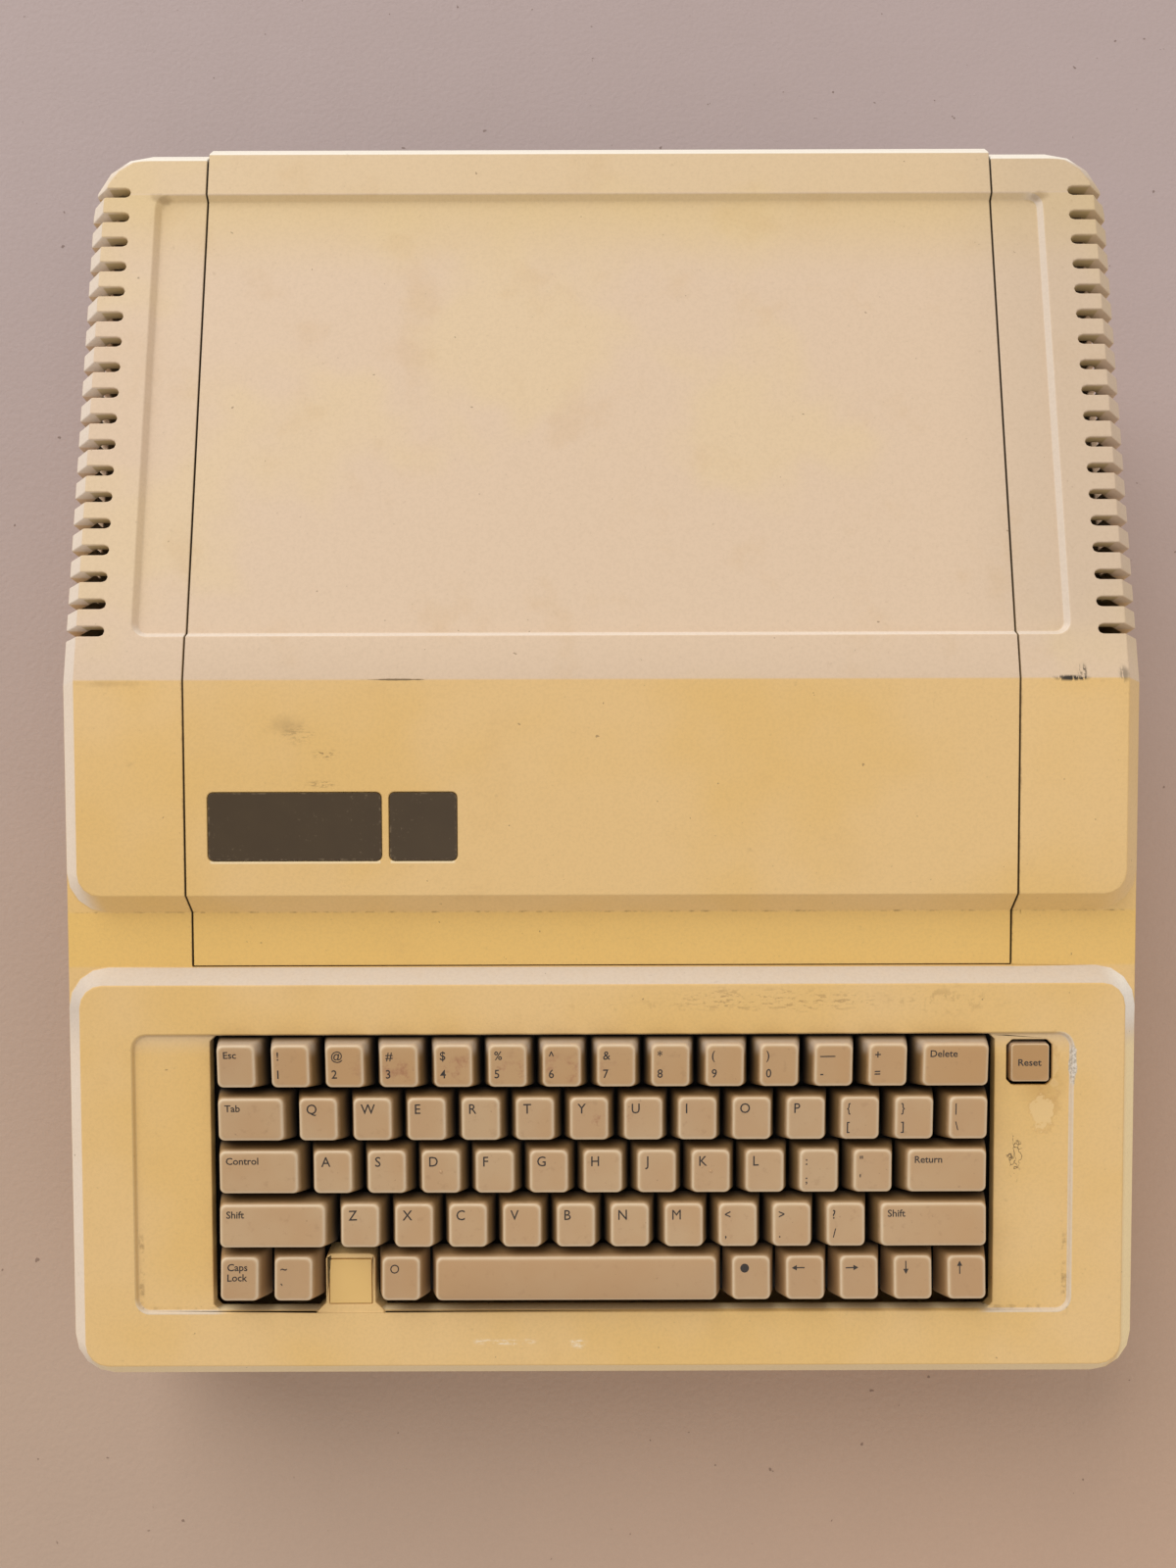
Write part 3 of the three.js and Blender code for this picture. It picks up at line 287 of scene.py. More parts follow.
def laid_out(name, tree, places, sizes):
    """Runs a tree on a set of places in millimetres, and keeps the result as a plain mesh."""
    points = bpy.data.meshes.new(name)
    points.from_pydata([Vector(place) * MM for place in places], [], [])
    piece = in_scene(name, points)
    runner = piece.modifiers.new(name, "NODES")
    runner.node_group = tree
    for socket in tree.interface.items_tree:
        if socket.name in sizes:
            runner[socket.identifier] = sizes[socket.name] * MM
    mesh = plain_mesh(piece)
    piece.modifiers.remove(runner)
    piece.data = facet_shading(mesh, 35)
    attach(piece, "body")


zinc = zinc_plate("zinc_plated_steel", "#C2C3BE", "#8C8D88")
new_piece(
    "steel_pan", softened("base_pan", 0.35, lambda at, edge: at.z < 12), [zinc],
    replaces=["base_pan"],
)

screw_sizes = {"Head Radius": 3.6, "Head Height": 1.9, "Slot Width": 0.9, "Slot Depth": 1.1}


def screw_tree(name, material, turn):
    """A pan-head screw with a cross slot, its head along the local +Z before the turn."""
    tree, given = new_tree(name, screw_sizes)
    radius, height, slot = given["Head Radius"], given["Head Height"], given["Slot Width"]
    head = height.node("GeometryNodeMeshCone", None, {
        "Vertices": 28, "Side Segments": 3, "Radius Top": radius * 0.62, "Radius Bottom": radius,
        "Depth": height,
    })
    bars = [
        moved(block(across, along, given["Slot Depth"] * 2), 0.0, 0.0, height)
        for across, along in ((radius * 1.5, slot), (slot, radius * 1.5))
    ]
    cross = bars[0].node("GeometryNodeMeshBoolean", {"operation": "UNION"}, {"Mesh 2": bars[0]})
    tree.links.new(bars[1].socket, cross.socket.node.inputs["Mesh 2"])
    end_tree(given, minus(head, cross), material, turn)
    return tree


SCREW_X, SCREW_Z = 186, 9
pan_screws = [(side * SCREW_X, y, SCREW_Z) for side in (-1, 1) for y in (-163, -87.3, 176.6)]
downwards = screw_tree("screw_down", zinc, (math.pi, 0.0, 0.0))
laid_out("pan_screws", downwards, pan_screws, screw_sizes)

# ---------------------------------------------------------------------------------------------
# Feet
# Four dark rubber feet, moulded with a hollow in the underside and a shoulder under the pan.
# Each is pushed into a hole of the pan.


def fade(value, low, high):
    """0 up to low and 1 from high, with a smooth step between. low may be above high."""
    inputs = {"Value": value, "From Min": low, "From Max": high}
    return value.node("ShaderNodeMapRange", {"interpolation_type": "SMOOTHSTEP"}, inputs)


def black_rubber():
    material, place = new_material("dusty_rubber")
    dust = mottle(place, 90, 4, 0.6)
    return finish_with(material, place, {
        "Base Color": blended(fade(dust, 0.45, 0.75), "#45403B", "#6B6359"),
        "Roughness": 0.75 + dust * 0.2,
        "Normal": dimpled(mottle(place, 1400, 3), 0.25, 0.0002),
    })


def join_rings(shape, rings):
    """Faces between each ring of points and the next."""
    for low, high in zip(rings, rings[1:]):
        for i in range(len(low)):
            j = (i + 1) % len(low)
            shape.faces.new((low[i], low[j], high[j], high[i]))


def close_rings(shape, rings):
    """A closed body: rings of points joined, with a face over each end."""
    join_rings(shape, rings)
    shape.faces.new(list(reversed(rings[0])))
    shape.faces.new(rings[-1])


def turned(profile, centre, sides=48):
    """A body of revolution about an upright line. profile is radii and heights, upwards."""
    shape = bmesh.new()
    angles = [2 * math.pi * i / sides for i in range(sides)]
    close_rings(shape, [
        [
            shape.verts.new((centre.x + radius * math.cos(a), centre.y + radius * math.sin(a), z))
            for a in angles
        ]
        for radius, z in profile
    ])
    return shape


def to_mesh(name, shape):
    """A mesh in metres from a shape in millimetres."""
    bmesh.ops.recalc_face_normals(shape, faces=shape.faces)
    mesh = bpy.data.meshes.new(name)
    shape.to_mesh(mesh)
    shape.free()
    mesh.transform(Matrix.Scale(MM, 4))
    return facet_shading(mesh, 35)


rubber = black_rubber()
foot_profile = [
    (0.01, 1.6), (4.2, 1.6), (4.6, 1.3), (4.9, 0.4), (5.4, 0), (8.6, 0), (9.4, 0.5), (10, 1.6),
    (9.6, 6.2), (9.2, 7), (8.4, 7.4), (8.2, 8.7), (0.01, 8.7),
]
for node in ("foot_front_left", "foot_front_right", "foot_rear_left", "foot_rear_right"):
    low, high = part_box(node)
    foot = to_mesh(node, turned(foot_profile, (low + high) / 2 / MM))
    new_piece("rubber_" + node, foot, [rubber], replaces=[node])

# ---------------------------------------------------------------------------------------------
# Key caps
# Sculpted caps of moulded plastic, hollow below, each with a stem that runs in its switch. Grime
# has turned them brown, and their sides are painted darker down to black at the foot, part grime
# and part painted shade. A painted highlight runs along each shoulder. The legends are printed
# thinly on the tops.

CASE_WIDTH = 385
CASE_TOP_Z = 114
PITCH = CASE_WIDTH * 0.04948
SLOPE = math.radians(10.8)
FRONT_Y = -227
KEY_MARGIN = 1.9
OPENING_LENGTH = 5 * PITCH + KEY_MARGIN + 2.35
ROW_UNITS = 14.5
OPENING_WIDTH = ROW_UNITS * PITCH + 2 * KEY_MARGIN
FRONT_MARGIN, REAR_MARGIN = 24.2, 17.8
DECK_REAR_Y = FRONT_Y + FRONT_MARGIN + OPENING_LENGTH * math.cos(SLOPE) + REAR_MARGIN
CHANNEL_FRONT_Y = DECK_REAR_Y + 6.75
CHANNEL_REAR_Y = CHANNEL_FRONT_Y + 19.4
BROW_FRONT_Y = CHANNEL_REAR_Y + 5.4
RIDGE_Y = BROW_FRONT_Y + 74.9
DECK_MIDDLE_Y = DECK_REAR_Y - REAR_MARGIN - OPENING_LENGTH / 2 * math.cos(SLOPE)
deck_plane = Matrix.Translation(
    (0, DECK_MIDDLE_Y, CASE_TOP_Z - (RIDGE_Y - DECK_MIDDLE_Y) * math.tan(SLOPE))
) @ Matrix.Rotation(SLOPE, 4, "X")
key_plane = deck_plane @ Matrix.Translation((0, 2.1, 6.2))

cap_sizes = {
    "gap": 0.85, "height": 10.5, "top_inset": 2.6, "top_margin": 4.05, "top_shift": 0.5,
    "base_corner": 1.3, "top_corner": 2.1, "wall": 1.3, "roof": 1.8, "shoulder": 1.2,
    "stem": (6.6, 4.2), "stem_foot": -13.9,
}


def rounded_outline(half, centre_y, length, corner, steps=5, sides=5):
    """Points round a rectangle with round corners, always the same number of them."""
    corner = max(min(corner, half - 0.05, length / 2 - 0.05), 0.02)
    y0, y1 = centre_y - length / 2, centre_y + length / 2
    centres = [
        (half - corner, y0 + corner), (half - corner, y1 - corner),
        (corner - half, y1 - corner), (corner - half, y0 + corner),
    ]
    points = []
    for index, (cx, cy) in enumerate(centres):
        for step in range(steps + 1):
            angle = math.pi / 2 * (index - 1 + step / steps)
            points.append((cx + corner * math.cos(angle), cy + corner * math.sin(angle)))
        angle = math.pi / 2 * index
        here = points[-1]
        ahead = centres[(index + 1) % 4]
        there = (ahead[0] + corner * math.cos(angle), ahead[1] + corner * math.sin(angle))
        for step in range(1, sides + 1):
            share = step / (sides + 1)
            points.append(tuple(a + (b - a) * share for a, b in zip(here, there)))
    return points


CORNERS = ((-1, -1), (1, -1), (1, 1), (-1, 1))


class Cap:
    """One cap about its own middle: how it leans and the form of its top."""

    def __init__(self, width, length, height, rise, lean, sizes, dish, crown=0.0):
        self.width, self.length, self.sizes = width, length, sizes
        self.height, self.rise, self.lean = height, rise, lean
        self.dish, self.crown = dish, crown
        self.half = width / 2 - sizes["top_inset"]
        self.top_length = sizes.get("top_length", PITCH - sizes["top_margin"])
        self.shift = sizes["top_shift"]

    def level(self, y):
        """The height of the plane of the top."""
        return self.rise + y * math.tan(self.lean)

    def top(self, x, y):
        """The height of the top at a place on it."""
        hollow = self.dish * (1 - min(abs(x) / self.half, 1) ** 2)
        bulge = self.crown * (1 - min(abs(y - self.shift) / self.top_length * 2, 1) ** 2)
        return self.level(y) - hollow + bulge

    def rings(self):
        """The outside from the foot to the middle of the top, as rings of points."""
        sizes = self.sizes
        edge = sizes["shoulder"]
        foot = self.rise - self.height
        lip = rounded_outline(self.width / 2 - 0.2, 0, self.length - 0.4, sizes["base_corner"])
        base = rounded_outline(self.width / 2, 0, self.length, sizes["base_corner"])
        rim = rounded_outline(self.half, self.shift, self.top_length, sizes["top_corner"])
        rings = [[(x, y, foot) for x, y in lip], [(x, y, foot + 0.25) for x, y in base]]
        for share in (0.3, 0.6, 1 - edge / self.height):
            swell = share ** 1.12
            rings.append([
                (bx + (rx - bx) * swell, by + (ry - by) * swell,
                 foot + (self.level(ry) - foot) * share)
                for (bx, by), (rx, ry) in zip(base, rim)
            ])
        inner = rounded_outline(
            self.half - edge, self.shift, self.top_length - 2 * edge,
            sizes["top_corner"] - edge * 0.6,
        )
        below, above = rings[-1], [(x, y, self.top(x, y)) for x, y in inner]
        for share in (0.25, 0.5, 0.75, 1):
            ring = []
            for low, (rx, ry), high in zip(below, rim, above):
                corner = Vector((rx, ry, self.top(rx, ry)))
                a, b = Vector(low).lerp(corner, share), corner.lerp(Vector(high), share)
                ring.append(tuple(a.lerp(b, share)))
            rings.append(ring)
        for share in (0.75, 0.5, 0.25, 0.04):
            shrunk = [(x * share, self.shift + (y - self.shift) * share) for x, y in inner]
            rings.append([(x, y, self.top(x, y)) for x, y in shrunk])
        return rings

    def hollow(self):
        """The inside, from the roof to the mouth."""
        sizes, wall = self.sizes, self.sizes["wall"]
        foot = self.rise - self.height
        mouth = rounded_outline(
            self.width / 2 - wall, 0, self.length - 2 * wall, sizes["base_corner"]
        )
        roof = rounded_outline(
            self.half - wall, self.shift, self.top_length - 2 * wall, sizes["top_corner"] - 0.6
        )
        return [
            [(x, y, self.level(y) - sizes["roof"]) for x, y in roof],
            [(x, y, foot) for x, y in mouth],
        ]

    def build(self):
        """The cap with two values on its points: how far it drops, and how much painted highlight
        it takes.
        """
        shape = bmesh.new()
        drop = shape.verts.layers.float.new("drop")
        shoulder_highlight = shape.verts.layers.float.new("shoulder_highlight")
        outside = [[shape.verts.new(p) for p in ring] for ring in self.rings()]
        inside = [[shape.verts.new(p) for p in ring] for ring in self.hollow()]
        # How much painted highlight each ring of the shoulder takes.
        shoulder = {4: 0.3, 5: 0.8, 6: 1, 7: 0.6, 8: 0.15}
        for index, ring in enumerate(outside):
            for vert in ring:
                fallen = self.level(vert.co.y) - vert.co.z - 0.1
                vert[drop] = max(0, fallen) if index < 8 else 0
                vert[shoulder_highlight] = shoulder.get(index, 0)
        close_rings(shape, inside + outside)
        hidden = [vert for ring in inside for vert in ring] + self.add_stem(shape)
        for vert in hidden:
            vert[drop] = self.height
        return shape

    def add_stem(self, shape):
        """The stem under the roof, with a taper at its foot."""
        half_x, half_y = (size / 2 for size in self.sizes["stem"])
        foot, top = self.sizes["stem_foot"], self.rise - self.sizes["roof"] + 0.5
        rings = [
            [shape.verts.new((i * half_x * share, j * half_y * share, z)) for i, j in CORNERS]
            for z, share in ((foot, 0.8), (foot + 1, 1), (top, 1))
        ]
        close_rings(shape, rings)
        return sum(rings, [])


def letter_mesh(text, weight=0.0):
    """The flat outline of some text. An M crosses itself when it is thickened, so it stays thin."""
    curve = bpy.data.curves.new("legend", "FONT")
    curve.body = text
    curve.resolution_u = 3
    curve.offset = 0.0 if "M" in text else weight
    curve.extrude = 0.02
    holder = in_scene("legend", curve)
    mesh = plain_mesh(holder)
    bpy.data.objects.remove(holder)
    bpy.data.curves.remove(curve)
    return mesh


def capital_height():
    mesh = letter_mesh("H")
    height = max(vertex.co.y for vertex in mesh.vertices)
    bpy.data.meshes.remove(mesh)
    return height


CAPITAL = capital_height()
INK_PROUD = 0.035


def on_top_at(cap, at):
    """A place on a cap's top, measured from the top's upper left corner."""
    return (-cap.half + at[0], cap.shift + cap.top_length / 2 - at[1])


def add_legend(shape, cap, text, size, at, stretch=0.94, weight=0.004):
    """Prints text on a cap. at is its upper left corner."""
    mesh = letter_mesh(text, weight)
    scale = size / CAPITAL
    left = min(vertex.co.x for vertex in mesh.vertices)
    corner = on_top_at(cap, (at[0], at[1] + size))
    for vertex in mesh.vertices:
        x = corner[0] + (vertex.co.x - left) * scale * stretch
        y = corner[1] + vertex.co.y * scale
        lift = INK_PROUD if vertex.co.z > 0 else -INK_PROUD
        vertex.co = (x, y, cap.top(x, y) + lift)
    add_inked(shape, mesh)


def add_inked(shape, mesh):
    """Adds a mesh to a shape as ink, the second material."""
    before = len(shape.faces)
    shape.from_mesh(mesh)
    shape.faces.ensure_lookup_table()
    for face in shape.faces[before:]:
        face.material_index = 1
    bpy.data.meshes.remove(mesh)


def add_drawn(shape, cap, outline, faces):
    """Prints a drawn sign on a cap, from flat points and their faces."""
    count = len(outline)
    points = [(x, y, cap.top(x, y) + INK_PROUD) for x, y in outline]
    points += [(x, y, cap.top(x, y) - INK_PROUD) for x, y in outline]
    solid = [tuple(face) for face in faces]
    solid += [tuple(count + i for i in reversed(face)) for face in faces]
    rim = {}
    for face in faces:
        for i, j in zip(face, list(face[1:]) + [face[0]]):
            rim[(i, j)] = True
    for i, j in rim:
        if (j, i) not in rim:
            solid.append((i, count + i, count + j, j))
    mesh = bpy.data.meshes.new("sign")
    mesh.from_pydata(points, [], solid)
    add_inked(shape, mesh)


def add_arrow(shape, cap, direction, at):
    """An arrow of a thin shaft and a filled head. at is its middle."""
    middle = on_top_at(cap, at)
    turn = {"right": 0, "up": 1, "left": 2, "down": 3}[direction] * math.pi / 2
    shaft = [(-2.3, -0.19), (0.7, -0.19), (0.7, 0.19), (-2.3, 0.19)]
    head = [(0.5, -0.95), (2.3, 0), (0.5, 0.95)]
    cos, sin = math.cos(turn), math.sin(turn)
    points = [
        (middle[0] + x * cos - y * sin, middle[1] + x * sin + y * cos) for x, y in shaft + head
    ]
    add_drawn(shape, cap, points, [(0, 1, 2, 3), (4, 5, 6)])


def add_disc(shape, cap, at, radius, hole=0.0):
    """A plain round sign, solid or hollow. at is its middle."""
    middle = on_top_at(cap, at)
    sides = 24
    angles = [2 * math.pi * i / sides for i in range(sides)]
    points = [
        (middle[0] + r * math.cos(a), middle[1] + r * math.sin(a))
        for r in ((radius, hole) if hole else (radius,)) for a in angles
    ]
    faces = [tuple(range(sides))]
    if hole:
        faces = [(i, (i + 1) % sides, sides + (i + 1) % sides, sides + i) for i in range(sides)]
    add_drawn(shape, cap, points, faces)


def add_nib(shape, cap):
    """The raised point that a finger finds on two home keys."""
    place = Matrix.Translation((0, cap.shift, cap.top(0, cap.shift) - 0.1))
    flattened = place @ Matrix.Diagonal((1, 1, 0.7, 1))
    bmesh.ops.create_uvsphere(shape, u_segments=12, v_segments=8, radius=0.62, matrix=flattened)


def split(place):
    """The three parts of a place, in millimetres."""
    scaled = place.node("ShaderNodeVectorMath", {"operation": "SCALE"}, {0: place, "Scale": 1 / MM})
    parts = scaled.node("ShaderNodeSeparateXYZ", None, {"Vector": scaled})
    return [Wire(parts.tree, parts.socket.node.outputs[i]) for i in range(3)]


def coats(tone, *layers):
    """A tone under coats of paint. Each coat is the share that it covers, and its colour."""
    for share, colour in layers:
        tone = blended(share, tone, colour)
    return tone


def between(value, low, high, blur):
    """1 from low to high, and 0 outside them."""
    return fade(value, low - blur, low + blur) * fade(value, high + blur, high - blur)


def near(x, y, centre, reach, ragged, blur=0.5):
    """1 near a place on the plan, 0 beyond reach, with a ragged edge."""
    dx, dy = (x - centre[0]) * (1 / reach[0]), (y - centre[1]) * (1 / reach[1])
    apart = (dx * dx + dy * dy).maths("SQRT")
    return fade(apart + (ragged - 0.5) * 1.2, 1.0, 1.0 - blur)


def grimy_key_plastic():
    """Tan key plastic: painted highlight on shoulders; grime and painted shade, black at the foot.
    """
    material, place = new_material("worn_key_plastic")
    x, y, _ = split(place)
    drop = place.node("ShaderNodeAttribute", {"attribute_name": "drop"}, output=2)
    shoulder_highlight = place.node("ShaderNodeAttribute", {"attribute_name": "shoulder_highlight"}, output=2)
    patches = mottle(place, 34, 3, 0.55)
    fine = mottle(place, 300, 5, 0.65)
    warm = fade(y, -128, -121) * fade(x, -142, -90) * 0.45 + fade(x, 95, 130) * 0.3
    thumbed = near(x, y, (-38, -116), (58, 6.5), patches) + near(x, y, (4, -135), (8, 6), patches)
    # Painted highlight: the rear flanks of the number row are painted pale, as if lit from the
    # rear.
    lit_rear_flanks = fade(y, -112.5, -108.5) * fade(drop, 0.3, 1.0) * fade(drop, 8, 3)
    tone = coats(
        blended(fade(patches, 0.35, 0.68), "#B9946B", "#BD9C75"),
        (warm, "#B88B55"),
        (thumbed * fade(mottle(place, 150, 5, 0.7), 0.5, 0.68) * 0.6, "#9A6245"),
        (fade(mottle(place, 700, 4, 0.6), 0.68, 0.74) * 0.45, "#6B4C33"),
        (fade(fine, 0.56, 0.7) * 0.2, "#8F6B46"),
        # The sides darken with their drop, brown then black at the foot: part grime, part painted
        # shade.
        (fade(drop + (fine - 0.5) * 1.5, 0.5, 3.2) * 0.9, "#7F6138"),
        (near(x, y, (152.5, -114.3), (9.5, 9.5), patches, 0.2) * 0.75, "#AF8450"),
        (lit_rear_flanks * (0.3 + fine * 0.3), "#D2C6B8"),
        (fade(drop + (patches - 0.5) * 2, 3.2, 10.5), "#1E140B"),
        (fade(y, -179, -183) * 0.45, "#AC855B"),
        # Painted highlight along each shoulder.
        (shoulder_highlight * shoulder_highlight * (0.45 + fine * 0.45), "#E4D0B0"),
    )
    return finish_with(material, place, {
        "Base Color": tone,
        "Roughness": 0.4 + patches * 0.2 + drop * 0.03,
        "Normal": dimpled(mottle(place, 2400, 2), 0.16, 0.00012),
    })


def legend_ink():
    material, place = new_material("legend_ink")
    wear = fade(mottle(place, 1500, 4, 0.7), 0.6, 0.75)
    return finish_with(material, place, {
        "Base Color": blended(wear * 0.3, "#2B2018", "#7A6044"),
        "Roughness": 0.55 + wear * 0.2,
        "Normal": dimpled(mottle(place, 2400, 2), 0.1, 0.0001),
    })


key_plastic = grimy_key_plastic()
ink = legend_ink()
LETTER, PAIR, DASH, WORD = "letter", "pair", "dash", "word"


def letters(row):
    """The keys of one row that carry a letter, each a CAD node of its own."""
    return [("key_" + letter, 1, LETTER, letter.upper()) for letter in row]


def pairs(*signs):
    """Keys with two signs, an upper and a lower one. They are fixed to the frame."""
    return [("", 1, PAIR, pair) for pair in signs]


# Each row: how far its tops stand above the plane of the keys, how they lean towards the typist,
# and its keys from the left, as (CAD node, width in key units, kind, legends).
key_rows = [
    (0.5, 5, [
        ("key_esc", 1, WORD, ["Esc"]),
        *pairs("!1", "@2", "#3", "$4", "%5", "^6", "&7", "*8", "(9", ")0"),
        ("", 1, DASH, "–-"),
        *pairs("+="),
        ("key_delete", 1.5, WORD, ["Delete"]),
    ]),
    (-0.2, 3, [
        ("key_tab", 1.5, WORD, ["Tab"]), *letters("qwertyuiop"), *pairs("{[", "}]", "|\\"),
    ]),
    (-0.9, 1, [
        ("key_control", 1.75, WORD, ["Control"]),
        *letters("asdfghjkl"),
        *pairs(":;", "\"'"),
        ("key_return", 1.75, WORD, ["Return"]),
    ]),
    (-0.3, -2, [
        ("key_shift_left", 2.25, WORD, ["Shift"]),
        *letters("zxcvbnm"),
        *pairs("<,", ">.", "?/"),
        ("key_shift_right", 2.25, WORD, ["Shift"]),
    ]),
    (-0.3, -4, [
        ("key_caps_lock", 1, WORD, ["Caps", "Lock"]),
        *pairs("~`"),
        ("lamp", 1, None, ""),
        ("key_symbol_left", 1, "hollow", ""),
        ("key_space", 5.5, None, ""),
        ("key_symbol_right", 1, "solid", ""),
        *[("key_cursor_" + way, 1, way, "") for way in ("left", "right", "down", "up")],
    ]),
]

# How each kind is printed: the size, upper left corner, stretch and weight of each of its words.
PRINTS = {
    LETTER: [(3.45, (2.4, 2.1), 0.94, 0.004)],
    PAIR: [(3.0, (1.9, 2.3), 0.94, 0.008), (3.0, (1.9, 8.9), 0.94, 0.008)],
    DASH: [(3.0, (1.7, 2.5), 2.3, 0.008), (3.0, (1.9, 8.9), 0.94, 0.008)],
    WORD: [(2.4, (2.2, 2.2), 1.02, 0.012), (2.4, (2.2, 5.8), 1.02, 0.012)],
}


def add_signs(shape, cap, kind, legends):
    """Prints what one cap carries."""
    if kind in PRINTS:
        for text, how in zip(legends, PRINTS[kind]):
            add_legend(shape, cap, text, *how)
    elif kind in ("hollow", "solid"):
        add_disc(shape, cap, (4.2, 4.1), 1.55, 1.15 if kind == "hollow" else 0.0)
    elif kind:
        add_arrow(shape, cap, kind, (4.1, 4.0))


def set_in_plane(shape, u, v):
    """Moves a cap from its own middle to its place among the keys."""
    place = key_plane @ Matrix.Translation((u, v, 0))
    bmesh.ops.transform(shape, matrix=place, verts=shape.verts)


fixed_caps = bmesh.new()
for layer in ("drop", "shoulder_highlight"):
    fixed_caps.verts.layers.float.new(layer)
key_places = []
for row, (rise, lean, keys) in enumerate(key_rows):
    left = -ROW_UNITS / 2
    for node, units, kind, legends in keys:
        u, v = (left + units / 2) * PITCH, (2 - row) * PITCH
        left += units
        if node == "lamp":
            continue
        key_places.append((u, v))
        dish, crown = 0.5 if units == 1 else 0.22, 0.0
        if node == "key_space":
            dish, crown = 0.0, 0.7
        cap = Cap(
            units * PITCH - cap_sizes["gap"], PITCH - cap_sizes["gap"], cap_sizes["height"] + rise,
            rise, math.radians(lean), cap_sizes, dish, crown,
        )
        shape = cap.build()
        add_signs(shape, cap, kind, legends)
        if node in ("key_d", "key_k"):
            add_nib(shape, cap)
        set_in_plane(shape, u, v)
        if node:
            new_piece(
                node.replace("key_", "cap_"), to_mesh(node, shape), [key_plastic, ink],
                frame["nodes"][node]["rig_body"], [node],
            )
        else:
            bmesh.ops.recalc_face_normals(shape, faces=shape.faces)
            loose = bpy.data.meshes.new("loose")
            shape.to_mesh(loose)
            fixed_caps.from_mesh(loose)
            bpy.data.meshes.remove(loose)
            shape.free()

# The reset key stands by itself in the deck, lower and smaller, with its word in the middle.
RESET_WIDTH, RESET_HEIGHT = 14.6, 6
in_deck = Vector((OPENING_WIDTH / 2 + 12.5, OPENING_LENGTH / 2 - 10.35, -0.4))
reset_place = key_plane.inverted() @ deck_plane @ in_deck
reset_sizes = dict(
    cap_sizes, top_inset=0.55, top_length=13.5, top_shift=0, top_corner=1.2, shoulder=0.6
)
cap = Cap(RESET_WIDTH, RESET_WIDTH, RESET_HEIGHT, reset_place.z, 0, reset_sizes, 0.25)
shape = cap.build()
add_legend(shape, cap, "Reset", 2.35, (2.5, 5.5), stretch=1.08, weight=0.014)
set_in_plane(shape, reset_place.x, reset_place.y)
new_piece(
    "cap_reset", to_mesh("reset", shape), [key_plastic, ink], "reset",
    ["key_reset"],
)

# ---------------------------------------------------------------------------------------------
# Keyboard frame
# A steel plate, painted near black, with one black switch housing below each cap. Twenty-one of
# the caps are fixed to it. Its circuit board hangs below, and a ribbon cable runs to the rear.


def dress(node, material):
    """Gives a CAD node that stays in sight its material."""
    slots = frame["nodes"][node].data.materials
    slots.clear()
    slots.append(material)


def well_black():
    material, place = new_material("dusty_black_paint")
    dust = mottle(place, 60, 6, 0.7)
    fluff = fade(mottle(place, 420, 5, 0.7), 0.62, 0.72)
    tone = blended(fade(dust, 0.4, 0.75), "#14100C", "#2A221A")
    return finish_with(material, place, {
        "Base Color": blended(fluff * 0.35, tone, "#5A4A38"),
        "Roughness": 0.55 + dust * 0.3,
        "Normal": dimpled(mottle(place, 1800, 3), 0.2, 0.0001),
    })


def slab(low, high, corner):
    """A block between two corners, with its edges rounded."""
    shape = bmesh.new()
    bmesh.ops.create_cube(shape, size=1)
    size = Vector(high) - Vector(low)
    place = Matrix.Translation((Vector(high) + Vector(low)) / 2) @ Matrix.Diagonal((*size, 1))
    bmesh.ops.transform(shape, matrix=place, verts=shape.verts)
    bmesh.ops.bevel(
        shape, geom=shape.edges[:], offset=corner, segments=2, profile=0.5, affect="EDGES"
    )
    return shape


black = well_black()
PLATE_TOP, PLATE_LOW = -18.6, -20.1
half_width, half_length = CASE_WIDTH / 2 - 18.6, 5 * PITCH / 2 + 2.4
shape = slab((-half_width, -half_length, PLATE_LOW), (half_width, half_length, PLATE_TOP), 0.3)
bmesh.ops.transform(shape, matrix=key_plane, verts=shape.verts)
new_piece(
    "key_plate", to_mesh("key_plate", shape), [black],
    replaces=["keyboard_frame"],
)
new_piece("fixed_caps", to_mesh("fixed_caps", fixed_caps), [key_plastic, ink])

housing_sizes = {
    "Width": PITCH - 8.85, "Length": PITCH - 8.05, "Height": 10.2, "Shaft Width": 7.4,
    "Shaft Length": 5.0,
}


def housing_tree(material):
    """A switch housing: a block with a shaft down its middle for the stem of the cap."""
    tree, given = new_tree("switch_housing", housing_sizes)
    height = given["Height"]
    shaft = block(given["Shaft Width"], given["Shaft Length"], height * 1.9)
    housing = minus(
        block(given["Width"], given["Length"], height), moved(shaft, 0.0, 0.0, height * 0.55)
    )
    end_tree(given, housing, material, (SLOPE, 0.0, 0.0))
    return tree


housing_middle = PLATE_TOP - 0.1 + housing_sizes["Height"] / 2
laid_out(
    "switch_housings", housing_tree(black),
    [key_plane @ Vector((u, v, housing_middle)) for u, v in key_places], housing_sizes,
)
laid_out(
    "reset_switch", housing_tree(black),
    [key_plane @ Vector((reset_place.x, reset_place.y, PLATE_TOP + 2))],
    dict(housing_sizes, Width=9.4, Length=9.4, Height=4.2),
)


def green_laminate():
    """Glass-fibre board under green lacquer, with tinned tracks."""
    material, place = new_material("lacquered_board")
    x, y, _ = split(place)
    lanes = fade((x * 2.47).maths("SINE"), 0.86, 0.97) * fade(mottle(place, 70, 1), 0.44, 0.5)
    cross = fade((y * 2.47).maths("SINE"), 0.9, 0.98) * fade(mottle(place, 55, 1), 0.5, 0.56)
    tracks = lanes.larger(cross)
    cloth = mottle(place, 300, 3)
    return finish_with(material, place, {
        "Base Color": coats(blended(cloth, "#25502F", "#336B3F"), (tracks * 0.6, "#5E9160")),
        "Roughness": 0.3 + cloth * 0.2,
        "Normal": dimpled(tracks * 0.6 + cloth * 0.2, 0.3, 0.0001),
    })


laminate = green_laminate()
dress("keyboard_board", laminate)
CORE_PITCH = 1.27


